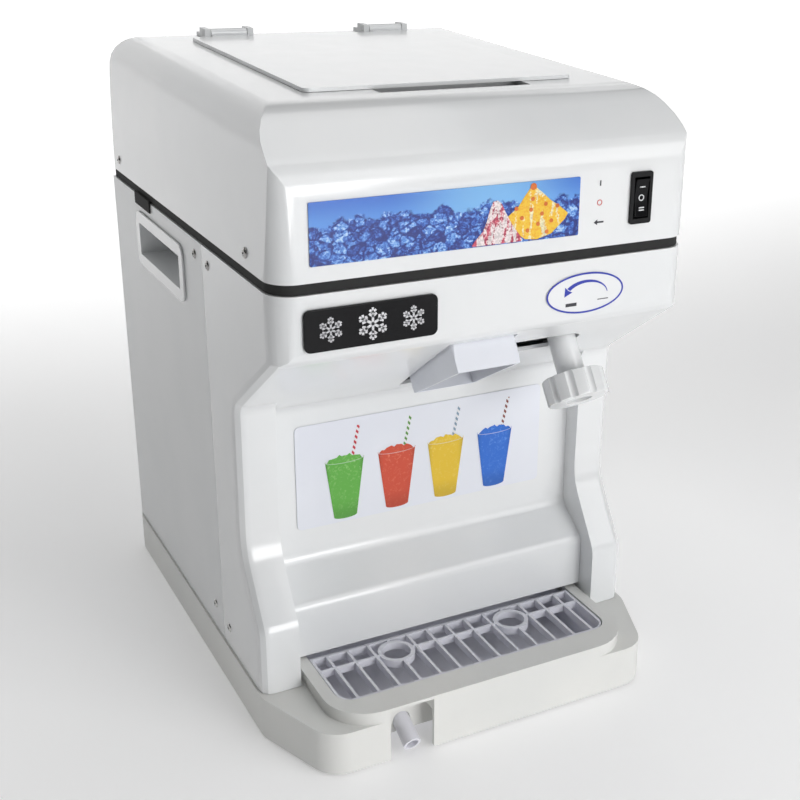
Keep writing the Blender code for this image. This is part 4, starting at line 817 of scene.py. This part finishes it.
@dataclass
class Drink:
    """One printed cup of slush with a straw."""

    name: str
    x: float
    colour: Colour
    light: Colour
    straw: Colour
    top: float = 0.1912
    bottom: float = 0.1440
    half_top: float = 0.0158
    half_bottom: float = 0.0095

    def build(self, face: float) -> None:
        """Lay the print's layers on a face.

        Args:
            face: y of the film that carries the print.
        """
        lean = 0.0058
        straw = [(self.x + 0.0062 + lean * t + side * 0.0012, self.top + 0.0265 * t)
                 for t, side in ((-0.12, -1), (-0.12, 1), (1.0, 1), (1.0, -1))]
        publish(f"straw_{self.name}", slab(straw, face, face - 0.00012), StripePrint(f"straw_{self.name}", self.straw,
                                                                                     0.2), Body.MACHINE)
        finish = DrinkPrint(f"drink_{self.name}", self.colour, self.light, self.x, self.bottom, self.top,
                            self.half_top)
        mound = [(self.x - self.half_top * 0.93, self.top - 0.004)]
        steps = 14
        for index in range(steps + 1):
            share = index / steps
            bump = 0.0007 * math.sin(share * 23.0 + self.x * 900.0) + 0.0005 * math.sin(share * 41.0)
            crown = math.sin(math.pi * share) ** 0.55
            mound.append((self.x + (share * 2 - 1) * self.half_top * 0.93, self.top - 0.0008 + 0.0046 * crown + bump))
        mound.append((self.x + self.half_top * 0.93, self.top - 0.004))
        mound.reverse()
        publish(f"mound_{self.name}", slab(mound, face - 0.00012, face - 0.0002), finish, Body.MACHINE)
        cup = [(self.x - self.half_top, self.top), (self.x - self.half_bottom, self.bottom)]
        for index in range(1, 12):
            angle = math.pi * index / 12
            cup.append((self.x - self.half_bottom * math.cos(angle), self.bottom - 0.0022 * math.sin(angle)))
        cup += [(self.x + self.half_bottom, self.bottom), (self.x + self.half_top, self.top)]
        for index in range(1, 16):
            angle = math.pi * index / 16
            cup.append((self.x + self.half_top * math.cos(angle), self.top - 0.0026 * math.sin(angle)))
        publish(f"cup_{self.name}", slab(cup, face - 0.0002, face - 0.00028), finish, Body.MACHINE)
        rim = Finish(f"cup_rim_{self.name}", tuple(0.45 + c * 0.45 for c in self.colour),
                     tuple(0.35 + c * 0.5 for c in self.colour), 0.25, "white_print", soil=0.0)
        lip = ring((self.x, self.top), (self.half_top + 0.0004, 0.0028), 0.0005, face - 0.00028, face - 0.00034, 48)
        cut = bmesh.ops.bisect_plane(lip, geom=lip.verts[:] + lip.edges[:] + lip.faces[:],
                                     plane_co=(0, 0, self.top + 0.0006), plane_no=(0, 0, 1), clear_outer=True)
        bmesh.ops.holes_fill(lip, edges=[e for e in cut["geom_cut"] if isinstance(e, bmesh.types.BMEdge)])
        bmesh.ops.recalc_face_normals(lip, faces=lip.faces)
        publish(f"cup_lip_{self.name}", lip, rim, Body.MACHINE)


@dataclass
class Prints:
    """Banner, cup picture, dial, badge and switch signs."""

    refiner: Refiner
    head_y: float
    sign_x: float = 0.0790
    sign_places: tuple[float, float, float] = (0.4120, 0.3985, 0.3847)
    crystal_spread: float = 0.029
    crystal_sizes: tuple[float, float] = (0.0110, 0.0085)
    dial_bars: tuple[tuple[float, float, float], ...] = ((-0.0115, 0.0075, 0.0024), (0.0150, 0.0062, 0.0006))
    dial_bar_width: float = 0.0090
    golden_turn: float = 2.39996
    drinks: list[Drink] = field(default_factory=lambda: [
        Drink("green", -0.0703, (0.12, 0.42, 0.06), (0.42, 0.74, 0.26), (0.55, 0.03, 0.05)),
        Drink("red", -0.0267, (0.62, 0.075, 0.035), (0.90, 0.30, 0.16), (0.10, 0.28, 0.05)),
        Drink("yellow", 0.0158, (0.78, 0.52, 0.03), (0.95, 0.80, 0.22), (0.22, 0.32, 0.42)),
        Drink("blue", 0.0600, (0.025, 0.15, 0.62), (0.16, 0.40, 0.88), (0.22, 0.05, 0.04)),
    ])

    def banner(self) -> None:
        """Ice banner with two printed desserts."""
        low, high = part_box("banner")
        shape = self.refiner.copy("banner")
        publish("banner_finished", shape, IcePrint(low, high), Body.MACHINE, ("banner",))
        face, floor = low.y, low.z + 0.0006
        plain = SyrupPrint("mango_mound", (0.92, 0.84, 0.55), (0.90, 0.58, 0.04), (0.86, 0.42, 0.02), 0.42)
        mango = [(0.0030, 0.3935), (0.0100, 0.3860), (0.0195, floor + 0.001), (0.0285, floor), (0.0400, 0.3810),
                 (0.0505, 0.3900), (0.0530, 0.3940), (0.0455, 0.4000), (0.0390, 0.4040), (0.0315, 0.4105),
                 (0.0275, 0.4135), (0.0225, 0.4135), (0.0185, 0.4085), (0.0140, 0.4020)]
        publish("dessert_yellow", slab(self.wavy(mango), face, face - 0.00012), plain, Body.MACHINE)
        berry = SyrupPrint("berry_mound", (0.90, 0.80, 0.80), (0.66, 0.10, 0.16), (0.30, 0.02, 0.06), 0.50)
        cone = [(-0.0215, floor), (0.0180, floor), (0.0150, 0.3830), (0.0105, 0.3885), (0.0070, 0.3940),
                (0.0035, 0.4000), (0.0010, 0.4050), (-0.0020, 0.4075), (-0.0055, 0.4070), (-0.0080, 0.4010),
                (-0.0100, 0.3940), (-0.0130, 0.3875), (-0.0185, 0.3820)]
        publish("dessert_pink", slab(self.wavy(cone), face - 0.00012, face - 0.00024), berry, Body.MACHINE)
        fruit = Finish("fruit_print", (0.66, 0.13, 0.02), (0.82, 0.26, 0.03), 0.3, "white_print", soil=0.4)
        dots = []
        for index in range(11):
            spin, reach = index * self.golden_turn, 0.0046 * math.sqrt(index + 0.4)
            x, z = 0.0285 + reach * math.cos(spin) * 1.25, 0.3955 + reach * math.sin(spin) * 0.95
            dots.append(self.disc(x, z, 0.0015, face - 0.00024, face - 0.00032))
        dots.append(self.disc(0.0250, 0.4145, 0.0024, face - 0.00024, face - 0.00034))
        publish("dessert_fruit", gather(dots), fruit, Body.MACHINE)

    @staticmethod
    def wavy(points: Sequence[Point]) -> list[Point]:
        """The outline with its corners softened."""
        smooth = rounded([(x, z, 0.0008) for x, z in points], math.radians(25.0))
        return [(p.x, p.y) for p in smooth]

    @staticmethod
    def disc(x: float, z: float, radius: float, near: float, far: float) -> bmesh.types.BMesh:
        """A thin round dot."""
        return slab([(x + radius * math.cos(a), z + radius * math.sin(a))
                     for a in (2 * math.pi * index / 20 for index in range(20))], near, far)

    def cups(self) -> None:
        """Cup picture in the alcove."""
        low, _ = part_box("cup_picture")
        self.refiner.carry("cup_picture", PRINT_WHITE, Body.MACHINE, 0.0001)
        for drink in self.drinks:
            drink.build(low.y)

    def dial(self) -> None:
        """Adjuster dial: blue oval, a curved arrow, a thick bar and a thin bar."""
        low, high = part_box("dial_label")
        self.refiner.carry("dial_label", DIAL_WHITE, Body.MACHINE, 0.0001)
        centre = ((low.x + high.x) / 2, (low.z + high.z) / 2)
        half = ((high.x - low.x) / 2, (high.z - low.z) / 2)
        near, far = low.y, low.y - 0.00015
        steps, start, end = 22, math.radians(8.0), math.radians(146.0)
        hub, reach = (centre[0] + 0.0008, centre[1] - 0.0024), (0.0178, 0.0108)
        outer, inner = [], []
        for index in range(steps + 1):
            share = index / steps
            angle, width = start + (end - start) * share, 0.00025 + 0.00125 * share
            spoke = Vector((math.cos(angle), math.sin(angle)))
            outer.append((hub[0] + (reach[0] + width) * spoke.x, hub[1] + (reach[1] + width) * spoke.y))
            inner.append((hub[0] + (reach[0] - width) * spoke.x, hub[1] + (reach[1] - width) * spoke.y))
        tip = Vector(outer[-1]).lerp(Vector(inner[-1]), 0.5)
        along = Vector((-math.sin(end), math.cos(end))).normalized()
        across = Vector((-along.y, along.x))
        head = [tip + across * 0.0036, tip + along * 0.0060, tip - across * 0.0036, tip + along * 0.0006]
        parts = [ring(centre, half, 0.0013, near, far, 96), slab(outer + inner[::-1], near, far),
                 slab([(p.x, p.y) for p in head], near, far)]
        publish("dial_ring_and_arrow", gather(parts), INK_BLUE, Body.MACHINE)
        bars: list[bmesh.types.BMesh] = []
        for right, down, height in self.dial_bars:
            bars.append(slab(oblong(centre[0] + right, centre[1] - down, self.dial_bar_width, height), near, far))
        publish("dial_bars", gather(bars), INK_DARK, Body.MACHINE)

    def badge(self) -> None:
        """Black badge with three ice crystals."""
        low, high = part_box("badge")
        self.refiner.carry("badge", BLACK_GLOSS, Body.MACHINE, 0.0006, 3)
        middle = ((low.x + high.x) / 2, (low.z + high.z) / 2)
        near, far = low.y + 0.0001, low.y - 0.0002
        shapes = []
        large, small = self.crystal_sizes
        for offset, size in ((-self.crystal_spread, small), (0.0, large), (self.crystal_spread, small)):
            shapes += self.crystal((middle[0] + offset, middle[1]), size, near, far)
        publish("badge_crystals", gather(shapes), INK_SILVER, Body.MACHINE)

    @staticmethod
    def crystal(centre: Point, size: float, near: float, far: float) -> list[bmesh.types.BMesh]:
        """Bars of a six-armed ice crystal."""
        bars = []
        width = size * 0.075
        for arm in range(6):
            turn = math.pi / 3 * arm + math.pi / 6
            runs = [((0.0, 0.0), turn, size)]
            for share in (0.45, 0.70):
                root = (size * share * math.cos(turn), size * share * math.sin(turn))
                runs += [(root, turn + lean, size * 0.30 * (1.25 - share * 0.5)) for lean in (-0.9, 0.9)]
            for root, heading, length in runs:
                along = Vector((math.cos(heading), math.sin(heading)))
                side = Vector((-along.y, along.x)) * width
                start = Vector((centre[0] + root[0], centre[1] + root[1]))
                stop = start + along * length
                bars.append(slab([start - side, stop - side, stop + side, start + side], near, far))
        return bars

    def signs(self) -> None:
        """On, off and reverse signs beside the switch."""
        near, far = self.head_y - 0.00005, self.head_y - 0.0002
        x, zs = self.sign_x, self.sign_places
        on = slab(oblong(x, zs[0], 0.0010, 0.0038), near, far)
        z = zs[2]
        arrow = slab([(x - 0.0040, z), (x - 0.0012, z - 0.0020), (x - 0.0012, z - 0.0006), (x + 0.0040, z - 0.0006),
                      (x + 0.0040, z + 0.0006), (x - 0.0012, z + 0.0006), (x - 0.0012, z + 0.0020)], near, far)
        publish("switch_signs", gather([on, arrow]), INK_DARK, Body.MACHINE)
        publish("switch_off_sign", ring((x, zs[1]), (0.0021, 0.0021), 0.0006, near, far, 32), INK_RED, Body.MACHINE)

    def build(self) -> None:
        """Lay every print."""
        self.banner()
        self.cups()
        self.dial()
        self.badge()
        self.signs()


@dataclass
class Studio:
    """Floor, lights and camera."""

    head_y: float
    near_glow: Colour = (0.21, 0.21, 0.21)
    far_glow: Colour = (0.78, 0.78, 0.78)
    room_light: float = 0.08
    azimuth: float = math.radians(-30.153)
    elevation: float = math.radians(21.488)
    roll: float = math.radians(1.639)
    focal_length: float = 57.91
    sensor_width: float = 36.0
    shift: Point = (-0.1334, -0.0103)
    stand: tuple[float, float, float] = (-0.4116, -0.7247, 0.6002)

    def floor(self) -> None:
        """Pale seamless floor with a curved rise far behind."""
        shape = slab(rounded([(-3.0, 0.0), (4.0, 0.0, 1.0), (4.0, 3.0), (4.02, 3.0), (4.02, -0.02), (-3.0, -0.02)]),
                     -4.0, 4.0, "x")
        item = placed("studio_floor", shape)
        mesh = item.data
        bench = Bench("floor_paper")
        colour = bench.mix(bench.noise(3.0).ramp(0.3, 0.7), (0.93, 0.93, 0.93), (0.91, 0.91, 0.915))
        glow = bench.mix(bench.axis("Y").ramp(0.2, 1.6), self.near_glow, self.far_glow)
        mesh.materials.append(bench.dress(Base_Color=colour, Roughness=0.6, Specular_IOR_Level=0.1,
                                          Emission_Color=glow, Emission_Strength=1.0))
        mesh.shade_smooth()
        mesh.set_sharp_from_angle(angle=math.radians(30))

    def light(self, name: str, place: Sequence[float], aim: Sequence[float], size: float, power: float) -> None:
        """One soft square light aimed at a point."""
        lamp = bpy.data.lights.new(name, "AREA")
        lamp.shape = "SQUARE"
        lamp.size = size
        lamp.energy = power
        item = bpy.data.objects.new(name, lamp)
        bpy.context.scene.collection.objects.link(item)
        item.location = place
        item.rotation_mode = "QUATERNION"
        item.rotation_quaternion = (Vector(aim) - Vector(place)).to_track_quat("-Z", "Y")

    def lights(self) -> None:
        """Even room light, a key at the front right, a low front fill and a soft top."""
        world = bpy.data.worlds.new("studio_world")
        bpy.context.scene.world = world
        world.use_nodes = True
        sky = world.node_tree.nodes["Background"]
        sky.inputs["Color"].default_value = (1.0, 1.0, 1.0, 1.0)
        sky.inputs["Strength"].default_value = self.room_light
        self.light("key_light", (1.2, -1.9, 1.3), (0.0, 0.0, 0.25), 1.5, 16.0)
        self.light("front_light", (0.35, -2.3, 0.55), (0.0, 0.0, 0.2), 0.9, 18.0)
        self.light("top_light", (0.1, 0.0, 2.4), (0.0, 0.0, 0.3), 1.8, 16.0)

    def camera(self) -> None:
        """Camera three quarters from the left, above the machine."""
        azimuth, elevation, roll = self.azimuth, self.elevation, self.roll
        back = Vector((math.sin(azimuth) * math.cos(elevation), -math.cos(azimuth) * math.cos(elevation),
                       math.sin(elevation)))
        right = Vector((math.cos(azimuth), math.sin(azimuth), 0.0))
        up = back.cross(right)
        across = right * math.cos(roll) + up * math.sin(roll)
        above = up * math.cos(roll) - right * math.sin(roll)
        lens = bpy.data.cameras.new("studio_camera")
        lens.sensor_width, lens.lens = self.sensor_width, self.focal_length
        lens.shift_x, lens.shift_y = self.shift
        item = bpy.data.objects.new("studio_camera", lens)
        bpy.context.scene.collection.objects.link(item)
        item.matrix_world = (Matrix.Translation(Vector(self.stand) + Vector((0.0, self.head_y, 0.0)))
                             @ Matrix((across, above, back)).transposed().to_4x4())
        bpy.context.scene.camera = item

    def build(self) -> None:
        """Set the studio up."""
        self.floor()
        self.lights()
        self.camera()
        bpy.context.scene.view_settings.view_transform = "Standard"


def main() -> None:
    """Build every sub-assembly in order."""
    logging.basicConfig(level=logging.INFO, format="%(name)s: %(message)s")
    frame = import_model()
    refiner = Refiner(frame["nodes"])
    housing_low, housing_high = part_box("front_housing")
    head_y = housing_low.y
    Base(refiner).build()
    Cabinet(refiner, head_y, housing_high.x).build()
    Hood(refiner).build()
    IcePath(refiner).build()
    Drive(refiner).build()
    Prints(refiner, head_y).build()
    Studio(head_y).build()


if __name__ == "__main__":
    main()
